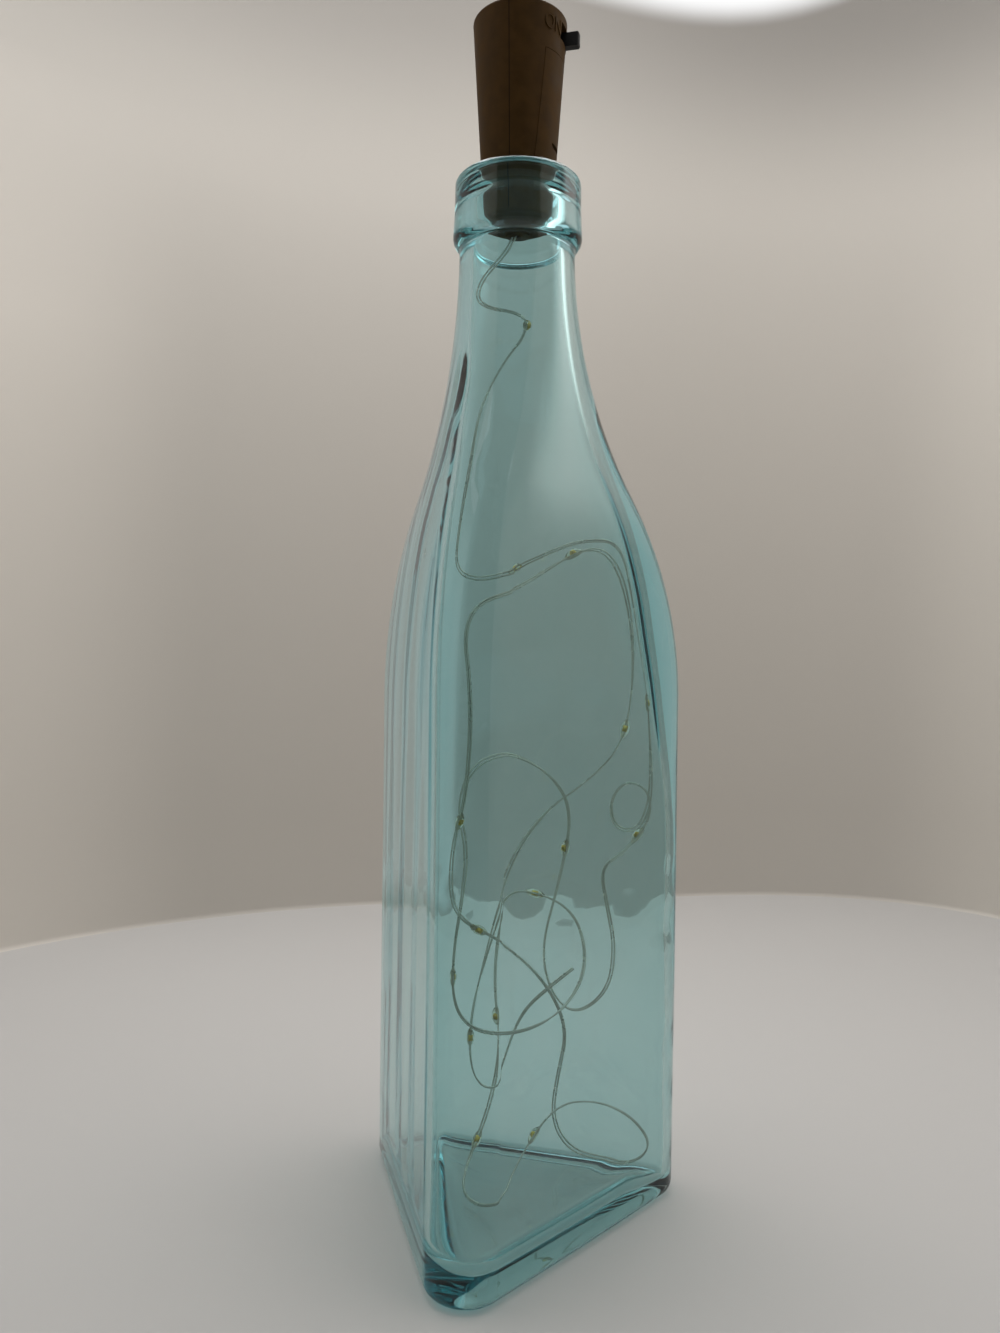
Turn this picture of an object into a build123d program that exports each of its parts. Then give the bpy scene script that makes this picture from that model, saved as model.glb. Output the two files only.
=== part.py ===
"""Cork bottle light: a three-sided glass bottle, closed by a cork-shaped battery light whose string
of lamps hangs inside the glass. Millimetres, +Z up, origin on the bottle's axis at its base.
One corner of the bottle points to -Y. The battery door and the switch face +X."""

from build123d import *
import math
import os

os.makedirs("parts", exist_ok=True)

# Glass bottle
BOTTLE_HEIGHT = 259.5
BODY_HEIGHT = 128.7
SIDE_DISTANCE = 27.85
CORNER_RADIUS = 10.0
INNER_CORNER_RADIUS = 6.0
WALL = 3.6
FLOOR = 4.4
HEEL_RADIUS = 3.5
INNER_HEEL_RADIUS = 4.0
NECK_RADIUS = 14.6
NECK_WALL = 3.5
THROAT_HEIGHT = 4.0
NECK_SHARE = 0.54
BODY_SIDE_TURN = 0.8
NECK_SIDE_TURN = 12.0
SHOULDER_SECTIONS = 11
LIP_HEIGHT = 17.3
LIP_RADIUS = 15.9
LIP_FLARE = 0.4
LIP_ROUND = 3.0
RIM_ROUND = 1.4
MOUTH_ROUND = 0.8

# Cork housing
CORK_STAND = 39.5
CORK_DEPTH = 11.0
CORK_TOP_RADIUS = 11.85
CORK_BOTTOM_RADIUS = 8.5
CORK_EDGE = 0.6
CORK_WALL = 1.4
CORK_LID = 1.6
CORK_FLOOR = 1.6
CORK_CLEARANCE = 0.15

# Battery door
DOOR_WIDTH = 15.0
DOOR_TOP_BELOW_CORK_TOP = 10.5
DOOR_ABOVE_RIM = 2.0
DOOR_GAP = 0.15
DOOR_LEG = 1.0
DOOR_LEG_REACH = 3.0
NOTCH_WIDTH = 6.0
NOTCH_HEIGHT = 1.15
NOTCH_DEPTH = 0.7
NOTCH_ABOVE_DOOR_BOTTOM = 5.2

# Slide switch
SWITCH_BELOW_CORK_TOP = 4.4
SLOT_WIDTH = 6.4
SLOT_HEIGHT = 4.0
KNOB_WIDTH = 2.0
KNOB_HEIGHT = 3.4
KNOB_PROUD = 3.3
KNOB_CHAMFER = 0.3
SLOT_END_GAP = 0.3
SLIDER_WIDTH = 3.8
SLIDER_THICKNESS = 1.7
SWITCH_FRAME_WIDTH = 9.2
SWITCH_FRAME_DEPTH = 3.8
SWITCH_FRAME_WALL = 0.6
SWITCH_GAP = 0.2
WIPER_THICKNESS = 0.3
PIN_COUNT = 3
PIN_SPACING = 2.5
PIN_WIDTH = 0.6
PIN_TAIL = 0.6
PIN_FIT = 0.03

# Battery bay, cells and contacts
CELL_RADIUS = 5.8
CELL_HEIGHT = 5.4
CELL_CAP_RADIUS = 4.9
CELL_CAP_HEIGHT = 0.5
CELL_EDGE = 0.4
CELL_OFFSET = 0.6
CELL_GAP = 0.25
CRADLE_PLATE = 1.2
CRADLE_WALL = 0.9
CRADLE_GAP = 0.15
SHEET_METAL = 0.3
SPRING_HEIGHT = 2.6
SPRING_LENGTH = 9.0
SPRING_WIDTH = 5.0
TAB_WIDTH = 2.0
TAB_TAIL = 1.2
TAB_SLOT_GAP = 0.2

# Circuit board and wires inside the housing
BOARD_THICKNESS = 1.0
BOARD_GAP = 0.3
RESISTOR_LENGTH = 3.2
RESISTOR_WIDTH = 1.6
RESISTOR_HEIGHT = 0.6
FEED_WIRE_RADIUS = 0.45
FEED_WIRE_WALL_GAP = 0.35
FEED_WIRE_BEND = 2.5

# Wire bush at the cork's lower end
BUSH_HOLE_RADIUS = 5.0
BUSH_FIT = 0.05
BUSH_FLANGE_RADIUS = 6.2
BUSH_FLANGE = 1.0
BUSH_BOSS_RADIUS = 6.0
BUSH_BOSS = 1.2
NOZZLE_RADIUS = 3.2
NOZZLE = 1.5
BUSH_BORE_RADIUS = 0.9
GLUE_RADIUS = 2.6
GLUE_HEIGHT = 2.0

# Lamp string
STRING_WIDTH = 1.0
BEAD_LENGTH = 5.0
BEAD_RADIUS = 1.4
BEAD_END = 0.2
CHIP_LENGTH = 1.3
CHIP_WIDTH = 0.7
CHIP_HEIGHT = 0.5
STRING_DROP = 1.3

# Way of the string through the bottle: the lead below the bush, then the loops to the bare end
LEAD_POINTS = ((-10, -2.5, 233.5), (-8.5, -4.5, 227))
LOOP_POINTS = (
    # down the neck and the left side
    (4, -5.5, 224), (0.5, 7.5, 222.5), (-3, 2.5, 216), (-6.5, -0.5, 208.5), (-9, -4, 200), (-10.5, -7, 187),
    (-15.5, -4.5, 171), (-19.5, 2, 161.5),
    # across to the right corner and down it
    (-10.5, 5, 158.5), (5.5, 4.5, 166), (16, 6, 170), (24.5, 12, 170),
    (27.5, 15.5, 155), (30.5, 17.5, 137), (31.5, 18.5, 120), (32, 18.5, 108.5),
    # small ring in the right corner
    (31.5, 18.5, 100.5), (28.5, 16.5, 94.5), (23, 14.5, 96), (22, 13.5, 103),
    (26, 14, 108.5), (32, 14.5, 106), (32.5, 14, 98.5), (26.5, 12, 90),
    # narrow loop up to the near corner
    (20.5, 8.5, 86.5), (22.5, 8.5, 77), (24.5, 12, 65.5), (22.5, 15, 52.5),
    (13.5, 13.5, 45.5), (7.5, 10, 52.5), (5.5, 7.5, 65), (10.5, 3, 83),
    (15, -2.5, 102), (10.5, -6.5, 111.5), (1, -11, 117.5), (-6.5, -17, 114.5),
    (-10, -17, 104), (-8.5, -13.5, 93), (-10.5, -12, 80), (-14, -9.5, 67),
    # wide loop around the middle
    (-15.5, -7, 53), (-8, -10, 47.5), (4, -10.5, 48.5), (13.5, -5, 52.5),
    (18, 4.5, 60.5), (15, 12, 70), (8, 15, 76), (-3.5, 15, 78.5),
    # down the far side to the floor
    (-8.5, 14.5, 70), (-10.5, 15, 52), (-8.5, 13.5, 34), (-10.5, 8.5, 19),
    (-13.5, -1.5, 9), (-11.5, -8.5, 6.2), (-5, -12, 5.4), (0, -8.5, 6.2),
    (0.5, 1, 9.5), (9.5, 10.5, 22.5), (19.5, 14, 23.5), (28.5, 16.5, 19.5),
    (33.5, 18, 12.5), (30, 19, 6.2), (21, 19.5, 5.4), (12.5, 19.5, 6.2),
    # up again past the near corner
    (7.5, 17.5, 15.5), (10, 12, 30.5), (13.5, 4.5, 46), (8, -2, 60.5),
    (-1, -12.5, 72), (-8.5, -19.5, 78), (-12, -17.5, 84), (-11, -18, 95.5),
    (-6, -22, 107), (-3.5, -26.5, 130), (-7.5, -22.5, 150.5), (2.5, -10.5, 156.5),
    # across again, down the right side and back to the bare end
    (10.5, -5.5, 162.5), (19.5, -0.5, 168), (24.5, 6, 163.5), (28, 9, 148),
    (28, 8, 128), (25, 5, 116.5), (17.5, 4.5, 109), (6.5, 3.5, 101),
    (-2, 0.5, 86), (-6.5, -1.5, 67), (-13, 2.5, 48), (-14.5, 4.5, 33.5),
    (-12, 6.5, 26.5), (-7, 7, 26.5), (-4.5, 7, 34), (0.5, 5.5, 47.5),
    (7.5, 5, 55), (14, 6.5, 60.5),
)
# Each lamp sits in the middle of the straight run that starts at one of these points of the loops
LAMP_RUNS = (0, 8, 13, 22, 31, 39, 46, 49, 51, 56, 68, 71, 76, 80, 86)

# Heights and radii that follow from the sizes above
SHOULDER_TOP = BOTTLE_HEIGHT - LIP_HEIGHT
CORK_TOP = BOTTLE_HEIGHT + CORK_STAND
CORK_BOTTOM = BOTTLE_HEIGHT - CORK_DEPTH
CORK_TAPER = (CORK_TOP_RADIUS - CORK_BOTTOM_RADIUS) / (CORK_TOP - CORK_BOTTOM)
DOOR_TOP = CORK_TOP - DOOR_TOP_BELOW_CORK_TOP
DOOR_BOTTOM = BOTTLE_HEIGHT + DOOR_ABOVE_RIM
SWITCH_Z = CORK_TOP - SWITCH_BELOW_CORK_TOP
BUSH_TOP = CORK_BOTTOM + CORK_FLOOR + BUSH_FLANGE
NOZZLE_END = CORK_BOTTOM - BUSH_BOSS - NOZZLE
GLUE_TOP = BUSH_TOP + GLUE_HEIGHT
BAY_BOTTOM = DOOR_BOTTOM + CRADLE_PLATE
CELLS_BOTTOM = BAY_BOTTOM + SPRING_HEIGHT
CELL_COUNT = 3
CELLS_TOP = CELLS_BOTTOM + CELL_COUNT * CELL_HEIGHT
BAY_TOP = CELLS_TOP + SHEET_METAL


def cork_radius(z):
    """Outer radius of the cork at a height."""
    return CORK_BOTTOM_RADIUS + CORK_TAPER * (z - CORK_BOTTOM)


def cork_inner_radius(z):
    """Inner radius of the cork's wall at a height."""
    return cork_radius(z) - CORK_WALL


BORE_RADIUS = cork_radius(BOTTLE_HEIGHT) + CORK_CLEARANCE


# Bottle outline


def side_ratio(turn):
    """Corner reach gained for each millimetre of side distance past the corner radius."""
    spread = math.sin(math.radians(60)) - math.sin(math.radians(60 - turn))
    return math.sin(math.radians(turn)) / spread


def corner_reach(side_distance, corner_radius):
    """Distance from the axis to a corner's tip on the straight body."""
    return corner_radius + (side_distance - corner_radius) * side_ratio(BODY_SIDE_TURN)


def rounded_triangle(reach, corner_radius, side_turn):
    """Outline of three corner arcs and three slightly bowed sides, all tangent."""
    centre_out = reach - corner_radius
    stretch = centre_out / math.sin(math.radians(side_turn))
    side_radius = corner_radius + stretch * math.sin(math.radians(60))
    side_back = stretch * math.sin(math.radians(60 - side_turn))
    corner_turn = 60 - side_turn
    with BuildSketch() as outline:
        with BuildLine():
            for corner in (-90, 30, 150):
                tip = Vector(centre_out, 0).rotate(Axis.Z, corner)
                CenterArc(tip, corner_radius, corner - corner_turn, 2 * corner_turn)
                side = corner + 60
                behind = Vector(-side_back, 0).rotate(Axis.Z, side)
                CenterArc(behind, side_radius, side - side_turn, 2 * side_turn)
        make_face()
    return outline.sketch


def shoulder_share(z, rise):
    """Share of the way from neck to body at a height: a hollow arc, then a full one, tangent."""
    fall = SHOULDER_TOP - BODY_HEIGHT
    both_radii = (fall**2 + rise**2) / (2 * rise)
    neck_arc = NECK_SHARE * both_radii
    body_arc = both_radii - neck_arc
    down = SHOULDER_TOP - z
    if down < NECK_SHARE * fall:
        return (neck_arc - math.sqrt(neck_arc**2 - down**2)) / rise
    return 1 - (body_arc - math.sqrt(body_arc**2 - (fall - down) ** 2)) / rise


def shoulder_sections(neck_radius, reach, corner_radius):
    """Heights and outlines from the straight body up to the round neck, for a loft."""
    rise = corner_reach(SIDE_DISTANCE, CORNER_RADIUS) - NECK_RADIUS
    sections = []
    for step in range(SHOULDER_SECTIONS):
        z = BODY_HEIGHT + (SHOULDER_TOP - BODY_HEIGHT) * step / (SHOULDER_SECTIONS - 1)
        share = shoulder_share(z, rise)
        outline = rounded_triangle(
            neck_radius + (reach - neck_radius) * share,
            neck_radius + (corner_radius - neck_radius) * share,
            NECK_SIDE_TURN + (BODY_SIDE_TURN - NECK_SIDE_TURN) * share,
        )
        sections.append((z, outline))
    return sections


def save(piece, name):
    """Labels a finished piece and writes it."""
    piece.part.label = name
    export_step(piece.part, f"parts/{name}.step")


# Glass bottle: cavity first, then the glass around it
INNER_REACH = corner_reach(SIDE_DISTANCE - WALL, INNER_CORNER_RADIUS)
OUTER_REACH = corner_reach(SIDE_DISTANCE, CORNER_RADIUS)

with BuildPart() as cavity:
    with BuildSketch(Plane.XY.offset(FLOOR)):
        add(rounded_triangle(INNER_REACH, INNER_CORNER_RADIUS, BODY_SIDE_TURN))
    extrude(amount=BODY_HEIGHT - FLOOR)
    fillet(cavity.edges().group_by(Axis.Z)[0], INNER_HEEL_RADIUS)
    for height, outline in shoulder_sections(NECK_RADIUS - NECK_WALL, INNER_REACH, INNER_CORNER_RADIUS):
        with BuildSketch(Plane.XY.offset(height)):
            add(outline)
    loft()
    with BuildSketch(Plane.XY.offset(SHOULDER_TOP)):
        Circle(NECK_RADIUS - NECK_WALL)
    with BuildSketch(Plane.XY.offset(SHOULDER_TOP + THROAT_HEIGHT)):
        Circle(BORE_RADIUS)
    loft()
    with BuildSketch(Plane.XY.offset(SHOULDER_TOP + THROAT_HEIGHT)):
        Circle(BORE_RADIUS)
    extrude(amount=LIP_HEIGHT - THROAT_HEIGHT)

with BuildPart() as glass_bottle:
    with BuildSketch():
        add(rounded_triangle(OUTER_REACH, CORNER_RADIUS, BODY_SIDE_TURN))
    extrude(amount=BODY_HEIGHT)
    fillet(glass_bottle.edges().group_by(Axis.Z)[0], HEEL_RADIUS)
    for height, outline in shoulder_sections(NECK_RADIUS, OUTER_REACH, CORNER_RADIUS):
        with BuildSketch(Plane.XY.offset(height)):
            add(outline)
    loft()
    with BuildSketch(Plane.XY.offset(SHOULDER_TOP)):
        Circle(NECK_RADIUS)
    extrude(amount=LIP_ROUND)
    with BuildSketch(Plane.XZ) as lip_profile:
        with BuildLine():
            Polyline(
                (0, SHOULDER_TOP),
                (LIP_RADIUS + LIP_FLARE, SHOULDER_TOP),
                (LIP_RADIUS, BOTTLE_HEIGHT),
                (0, BOTTLE_HEIGHT),
                close=True,
            )
        make_face()
        fillet(lip_profile.vertices().sort_by(Axis.X)[-1], LIP_ROUND)
        fillet(lip_profile.vertices().group_by(Axis.Y)[-1].sort_by(Axis.X)[-1], RIM_ROUND)
    revolve(axis=Axis.Z)
    add(cavity.part, mode=Mode.SUBTRACT)
    rims = glass_bottle.edges().filter_by(GeomType.CIRCLE).group_by(Axis.Z)[-1]
    fillet(rims.sort_by(SortBy.RADIUS)[0], MOUTH_ROUND)
save(glass_bottle, "glass_bottle")

# Cork housing: one hollow cork, split into two shells along its seam
with BuildPart() as cork:
    with BuildSketch(Plane.XZ) as cork_profile:
        with BuildLine():
            Polyline(
                (0, CORK_BOTTOM),
                (CORK_BOTTOM_RADIUS, CORK_BOTTOM),
                (CORK_TOP_RADIUS, CORK_TOP),
                (0, CORK_TOP),
                close=True,
            )
        make_face()
        fillet(cork_profile.vertices().sort_by(Axis.X)[-2:], CORK_EDGE)
    revolve(axis=Axis.Z)
    with BuildSketch(Plane.XZ):
        with BuildLine():
            Polyline(
                (0, CORK_BOTTOM + CORK_FLOOR),
                (cork_inner_radius(CORK_BOTTOM + CORK_FLOOR), CORK_BOTTOM + CORK_FLOOR),
                (cork_inner_radius(CORK_TOP - CORK_LID), CORK_TOP - CORK_LID),
                (0, CORK_TOP - CORK_LID),
                close=True,
            )
        make_face()
    revolve(axis=Axis.Z, mode=Mode.SUBTRACT)
    with Locations((0, 0, CORK_BOTTOM)):
        Cylinder(BUSH_HOLE_RADIUS, 2 * CORK_FLOOR, mode=Mode.SUBTRACT)

DOOR_HEIGHT = DOOR_TOP - DOOR_BOTTOM
DOOR_MIDDLE = (DOOR_TOP + DOOR_BOTTOM) / 2

with BuildPart() as cork_shell_front:
    add(cork.part)
    split(bisect_by=Plane.YZ, keep=Keep.TOP)
    with Locations((CORK_TOP_RADIUS, 0, DOOR_MIDDLE)):
        Box(2 * CORK_TOP_RADIUS, DOOR_WIDTH, DOOR_HEIGHT, mode=Mode.SUBTRACT)
    with Locations((CORK_TOP_RADIUS, 0, SWITCH_Z)):
        Box(CORK_TOP_RADIUS, SLOT_WIDTH, SLOT_HEIGHT, mode=Mode.SUBTRACT)
save(cork_shell_front, "cork_shell_front")

with BuildPart() as cork_shell_rear:
    add(cork.part)
    split(bisect_by=Plane.YZ, keep=Keep.BOTTOM)
save(cork_shell_rear, "cork_shell_rear")

# Battery door: a panel of the cork's wall with two legs that reach past the cells
LEG_OUTER = CELL_RADIUS + CELL_GAP + DOOR_LEG
LEG_X = math.sqrt(cork_inner_radius(BAY_BOTTOM) ** 2 - LEG_OUTER**2)
LEG_BOTTOM = BAY_BOTTOM + TAB_SLOT_GAP
LEG_TOP = BAY_TOP - TAB_SLOT_GAP
NOTCH_Z = DOOR_BOTTOM + NOTCH_ABOVE_DOOR_BOTTOM

with BuildPart() as battery_door:
    add(cork.part)
    with Locations((CORK_TOP_RADIUS, 0, DOOR_MIDDLE)):
        Box(
            2 * CORK_TOP_RADIUS,
            DOOR_WIDTH - 2 * DOOR_GAP,
            DOOR_HEIGHT - 2 * DOOR_GAP,
            mode=Mode.INTERSECT,
        )
    panel = battery_door.part
    with BuildSketch(Plane.XZ):
        with BuildLine():
            Polyline(
                (LEG_X - DOOR_LEG_REACH, LEG_BOTTOM),
                (LEG_X + CORK_WALL / 2, LEG_BOTTOM),
                (LEG_X + CORK_WALL / 2 + CORK_TAPER * (LEG_TOP - LEG_BOTTOM), LEG_TOP),
                (LEG_X - DOOR_LEG_REACH, LEG_TOP),
                close=True,
            )
        make_face()
    extrude(amount=LEG_OUTER, both=True)
    with Locations((0, 0, DOOR_MIDDLE)):
        Box(
            2 * CORK_TOP_RADIUS,
            2 * (LEG_OUTER - DOOR_LEG),
            DOOR_HEIGHT,
            mode=Mode.SUBTRACT,
        )
    add(panel)
    with Locations((cork_radius(NOTCH_Z), 0, NOTCH_Z)):
        Box(2 * NOTCH_DEPTH, NOTCH_WIDTH, NOTCH_HEIGHT, mode=Mode.SUBTRACT)
save(battery_door, "battery_door")

# Wire bush, glue and the string's way out
with BuildPart() as wire_bush:
    with BuildSketch(Plane.XZ):
        with BuildLine():
            Polyline(
                (BUSH_BORE_RADIUS, NOZZLE_END),
                (NOZZLE_RADIUS, NOZZLE_END),
                (NOZZLE_RADIUS, NOZZLE_END + NOZZLE),
                (BUSH_BOSS_RADIUS, NOZZLE_END + NOZZLE),
                (BUSH_BOSS_RADIUS, CORK_BOTTOM),
                (BUSH_HOLE_RADIUS - BUSH_FIT, CORK_BOTTOM),
                (BUSH_HOLE_RADIUS - BUSH_FIT, CORK_BOTTOM + CORK_FLOOR),
                (BUSH_FLANGE_RADIUS, CORK_BOTTOM + CORK_FLOOR),
                (BUSH_FLANGE_RADIUS, BUSH_TOP),
                (BUSH_BORE_RADIUS, BUSH_TOP),
                close=True,
            )
        make_face()
    revolve(axis=Axis.Z)
save(wire_bush, "wire_bush")

with BuildPart() as glue_plug:
    with BuildSketch(Plane.XY.offset(BUSH_TOP)):
        Circle(GLUE_RADIUS)
    extrude(amount=GLUE_HEIGHT)
    fillet(glue_plug.edges().group_by(Axis.Z)[-1], GLUE_HEIGHT / 2)
save(glue_plug, "glue_plug")

# Battery cradle: two plates and a half-round wall behind the cells
CELL_ROOM = CELL_RADIUS + CELL_GAP
CRADLE_BACK = CELL_OFFSET - CELL_ROOM - CRADLE_WALL
TAB_X = -SPRING_LENGTH / 2 + SHEET_METAL / 2
STRIP_X = CRADLE_BACK + SHEET_METAL / 2
TAB_SLOT = SHEET_METAL + 2 * TAB_SLOT_GAP
TAB_SLOT_WIDTH = TAB_WIDTH + 2 * TAB_SLOT_GAP
BOARD_TOP = SWITCH_Z - SLOT_HEIGHT
BOARD_BOTTOM = BOARD_TOP - BOARD_THICKNESS
FEED_X = FEED_WIRE_WALL_GAP + FEED_WIRE_RADIUS - cork_inner_radius(DOOR_BOTTOM)
FEED_NOTCH = 2 * (FEED_WIRE_RADIUS + TAB_SLOT_GAP)
POST_RADIUS = 1.1
POST_PLACES = ((-4.0, -5.0), (-4.0, 5.0), (2.5, -6.0), (2.5, 6.0))

with BuildPart() as battery_cradle:
    with BuildSketch(Plane.XY.offset(DOOR_BOTTOM)):
        Circle(cork_inner_radius(DOOR_BOTTOM) - CRADLE_GAP)
    extrude(amount=CRADLE_PLATE)
    with BuildSketch(Plane.XY.offset(BAY_TOP)):
        Circle(cork_inner_radius(BAY_TOP) - CRADLE_GAP)
    extrude(amount=CRADLE_PLATE)
    with BuildSketch(Plane.XY.offset(BAY_BOTTOM)) as wall_section:
        with Locations((CELL_OFFSET, 0)):
            Circle(CELL_ROOM + CRADLE_WALL)
            Circle(CELL_ROOM, mode=Mode.SUBTRACT)
        split(bisect_by=Plane.YZ, keep=Keep.BOTTOM)
    extrude(amount=BAY_TOP - BAY_BOTTOM)
    with BuildSketch(Plane.XY.offset(BAY_TOP + CRADLE_PLATE)):
        with Locations(*POST_PLACES):
            Circle(POST_RADIUS)
    extrude(amount=BOARD_BOTTOM - BAY_TOP - CRADLE_PLATE)
    with Locations((TAB_X, 0, DOOR_BOTTOM)):
        Box(TAB_SLOT, TAB_SLOT_WIDTH, 4 * CRADLE_PLATE, mode=Mode.SUBTRACT)
    with Locations((STRIP_X, 0, BAY_TOP)):
        Box(4 * TAB_SLOT, TAB_SLOT_WIDTH, 4 * SHEET_METAL, mode=Mode.SUBTRACT)
        Box(2 * TAB_SLOT, TAB_SLOT_WIDTH, 4 * CRADLE_PLATE, mode=Mode.SUBTRACT)
    with Locations((FEED_X, 0, DOOR_MIDDLE)):
        Box(FEED_NOTCH, FEED_NOTCH, DOOR_HEIGHT, mode=Mode.SUBTRACT)
save(battery_cradle, "battery_cradle")

# Three button cells, caps down
with BuildPart() as button_cell:
    Cylinder(CELL_CAP_RADIUS, CELL_HEIGHT, align=(Align.CENTER, Align.CENTER, Align.MIN))
    with Locations((0, 0, CELL_CAP_HEIGHT)):
        Cylinder(
            CELL_RADIUS,
            CELL_HEIGHT - CELL_CAP_HEIGHT,
            align=(Align.CENTER, Align.CENTER, Align.MIN),
        )
    fillet(button_cell.edges().group_by(Axis.Z)[-1], CELL_EDGE)

with BuildPart() as button_cell_bottom:
    with Locations((CELL_OFFSET, 0, CELLS_BOTTOM)):
        add(button_cell.part)
save(button_cell_bottom, "button_cell_bottom")

with BuildPart() as button_cell_middle:
    with Locations((CELL_OFFSET, 0, CELLS_BOTTOM + CELL_HEIGHT)):
        add(button_cell.part)
save(button_cell_middle, "button_cell_middle")

with BuildPart() as button_cell_top:
    with Locations((CELL_OFFSET, 0, CELLS_BOTTOM + 2 * CELL_HEIGHT)):
        add(button_cell.part)
save(button_cell_top, "button_cell_top")

# Contacts: a disc with a strip up to the board, and a folded leaf with a tail
LOW = (Align.CENTER, Align.CENTER, Align.MIN)
FROM_LEFT = (Align.MIN, Align.CENTER, Align.MIN)

with BuildPart() as positive_contact:
    with Locations((CELL_OFFSET, 0, CELLS_TOP)):
        Cylinder(CELL_CAP_RADIUS, SHEET_METAL, align=LOW)
    with Locations((CRADLE_BACK, 0, CELLS_TOP)):
        Box(CELL_OFFSET - CRADLE_BACK, TAB_WIDTH, SHEET_METAL, align=FROM_LEFT)
        Box(SHEET_METAL, TAB_WIDTH, BOARD_BOTTOM - CELLS_TOP, align=FROM_LEFT)
save(positive_contact, "positive_contact")

with BuildPart() as negative_contact:
    with Locations((-SPRING_LENGTH / 2, 0, BAY_BOTTOM)):
        Box(SPRING_LENGTH, SPRING_WIDTH, SHEET_METAL, align=FROM_LEFT)
        Box(SHEET_METAL, SPRING_WIDTH, SPRING_HEIGHT, align=FROM_LEFT)
    with Locations((-SPRING_LENGTH / 2, 0, CELLS_BOTTOM - SHEET_METAL)):
        Box(SPRING_LENGTH, SPRING_WIDTH, SHEET_METAL, align=FROM_LEFT)
    with Locations((-SPRING_LENGTH / 2, 0, DOOR_BOTTOM - TAB_TAIL)):
        Box(SHEET_METAL, TAB_WIDTH, CRADLE_PLATE + TAB_TAIL + SHEET_METAL, align=FROM_LEFT)
save(negative_contact, "negative_contact")

# Slide switch on its round board
FRAME_BACK = cork_inner_radius(SWITCH_Z) - SWITCH_GAP
FRAME_FRONT = math.sqrt(FRAME_BACK**2 - (SWITCH_FRAME_WIDTH / 2) ** 2)
FRAME_REAR = FRAME_FRONT - SWITCH_FRAME_DEPTH
FRAME_TOP = CORK_TOP - CORK_LID - SWITCH_GAP
SLIDER_FRONT = FRAME_FRONT - SWITCH_FRAME_WALL - SWITCH_GAP
SLIDER_REAR = SLIDER_FRONT - SLIDER_THICKNESS
HOLLOW_REAR = SLIDER_REAR - WIPER_THICKNESS - SWITCH_GAP
HOLLOW_DEPTH = FRAME_FRONT - SWITCH_FRAME_WALL - HOLLOW_REAR
HOLLOW_WIDTH = SWITCH_FRAME_WIDTH - 2 * SWITCH_FRAME_WALL
HOLLOW_HEIGHT = SLOT_HEIGHT
KNOB_TRAVEL = SLOT_WIDTH - KNOB_WIDTH - 2 * SLOT_END_GAP
KNOB_REST = KNOB_TRAVEL / 2
KNOB_END = cork_radius(SWITCH_Z) + KNOB_PROUD
PIN_X = (HOLLOW_REAR + FRAME_FRONT) / 2
PIN_TOP = SWITCH_Z - HOLLOW_HEIGHT / 2
PIN_BOTTOM = BOARD_BOTTOM - PIN_TAIL
PIN_HOLE = PIN_WIDTH + 2 * PIN_FIT

with BuildPart() as switch_frame:
    with Locations((FRAME_REAR, 0, BOARD_TOP)):
        Box(SWITCH_FRAME_DEPTH, SWITCH_FRAME_WIDTH, FRAME_TOP - BOARD_TOP, align=FROM_LEFT)
    with Locations((HOLLOW_REAR, 0, PIN_TOP)):
        Box(HOLLOW_DEPTH, HOLLOW_WIDTH, HOLLOW_HEIGHT, align=FROM_LEFT, mode=Mode.SUBTRACT)
    with Locations((PIN_X, 0, SWITCH_Z - KNOB_HEIGHT / 2 - SWITCH_GAP)):
        Box(
            SWITCH_FRAME_DEPTH,
            KNOB_TRAVEL + KNOB_WIDTH + 2 * SWITCH_GAP,
            KNOB_HEIGHT + 2 * SWITCH_GAP,
            align=FROM_LEFT,
            mode=Mode.SUBTRACT,
        )
    with Locations((PIN_X, 0, BOARD_TOP)):
        with GridLocations(0, PIN_SPACING, 1, PIN_COUNT):
            Box(PIN_HOLE, PIN_HOLE, SLOT_HEIGHT, align=LOW, mode=Mode.SUBTRACT)
save(switch_frame, "switch_frame")

with BuildPart() as switch_pins:
    with Locations((PIN_X, 0, PIN_BOTTOM)):
        with GridLocations(0, PIN_SPACING, 1, PIN_COUNT):
            Box(PIN_WIDTH, PIN_WIDTH, PIN_TOP - PIN_BOTTOM, align=LOW)
save(switch_pins, "switch_pins")

with BuildPart() as switch_knob:
    with Locations((SLIDER_REAR, KNOB_REST, SWITCH_Z)):
        Box(SLIDER_THICKNESS, SLIDER_WIDTH, KNOB_HEIGHT, align=(Align.MIN, Align.CENTER, Align.CENTER))
        Box(
            KNOB_END - SLIDER_REAR,
            KNOB_WIDTH,
            KNOB_HEIGHT,
            align=(Align.MIN, Align.CENTER, Align.CENTER),
        )
    chamfer(switch_knob.faces().sort_by(Axis.X)[-1].edges(), KNOB_CHAMFER)
save(switch_knob, "switch_knob")

with BuildPart() as switch_wiper:
    with Locations((SLIDER_REAR - WIPER_THICKNESS, KNOB_REST, SWITCH_Z)):
        Box(
            WIPER_THICKNESS,
            SLIDER_WIDTH * 0.8,
            KNOB_HEIGHT * 0.7,
            align=(Align.MIN, Align.CENTER, Align.CENTER),
        )
save(switch_wiper, "switch_wiper")

with BuildPart() as circuit_board:
    with BuildSketch(Plane.XY.offset(BOARD_BOTTOM)):
        Circle(cork_inner_radius(BOARD_BOTTOM) - BOARD_GAP)
        with Locations((PIN_X, 0)):
            with GridLocations(0, PIN_SPACING, 1, PIN_COUNT):
                Rectangle(PIN_HOLE, PIN_HOLE, mode=Mode.SUBTRACT)
    extrude(amount=BOARD_THICKNESS)
save(circuit_board, "circuit_board")

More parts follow.
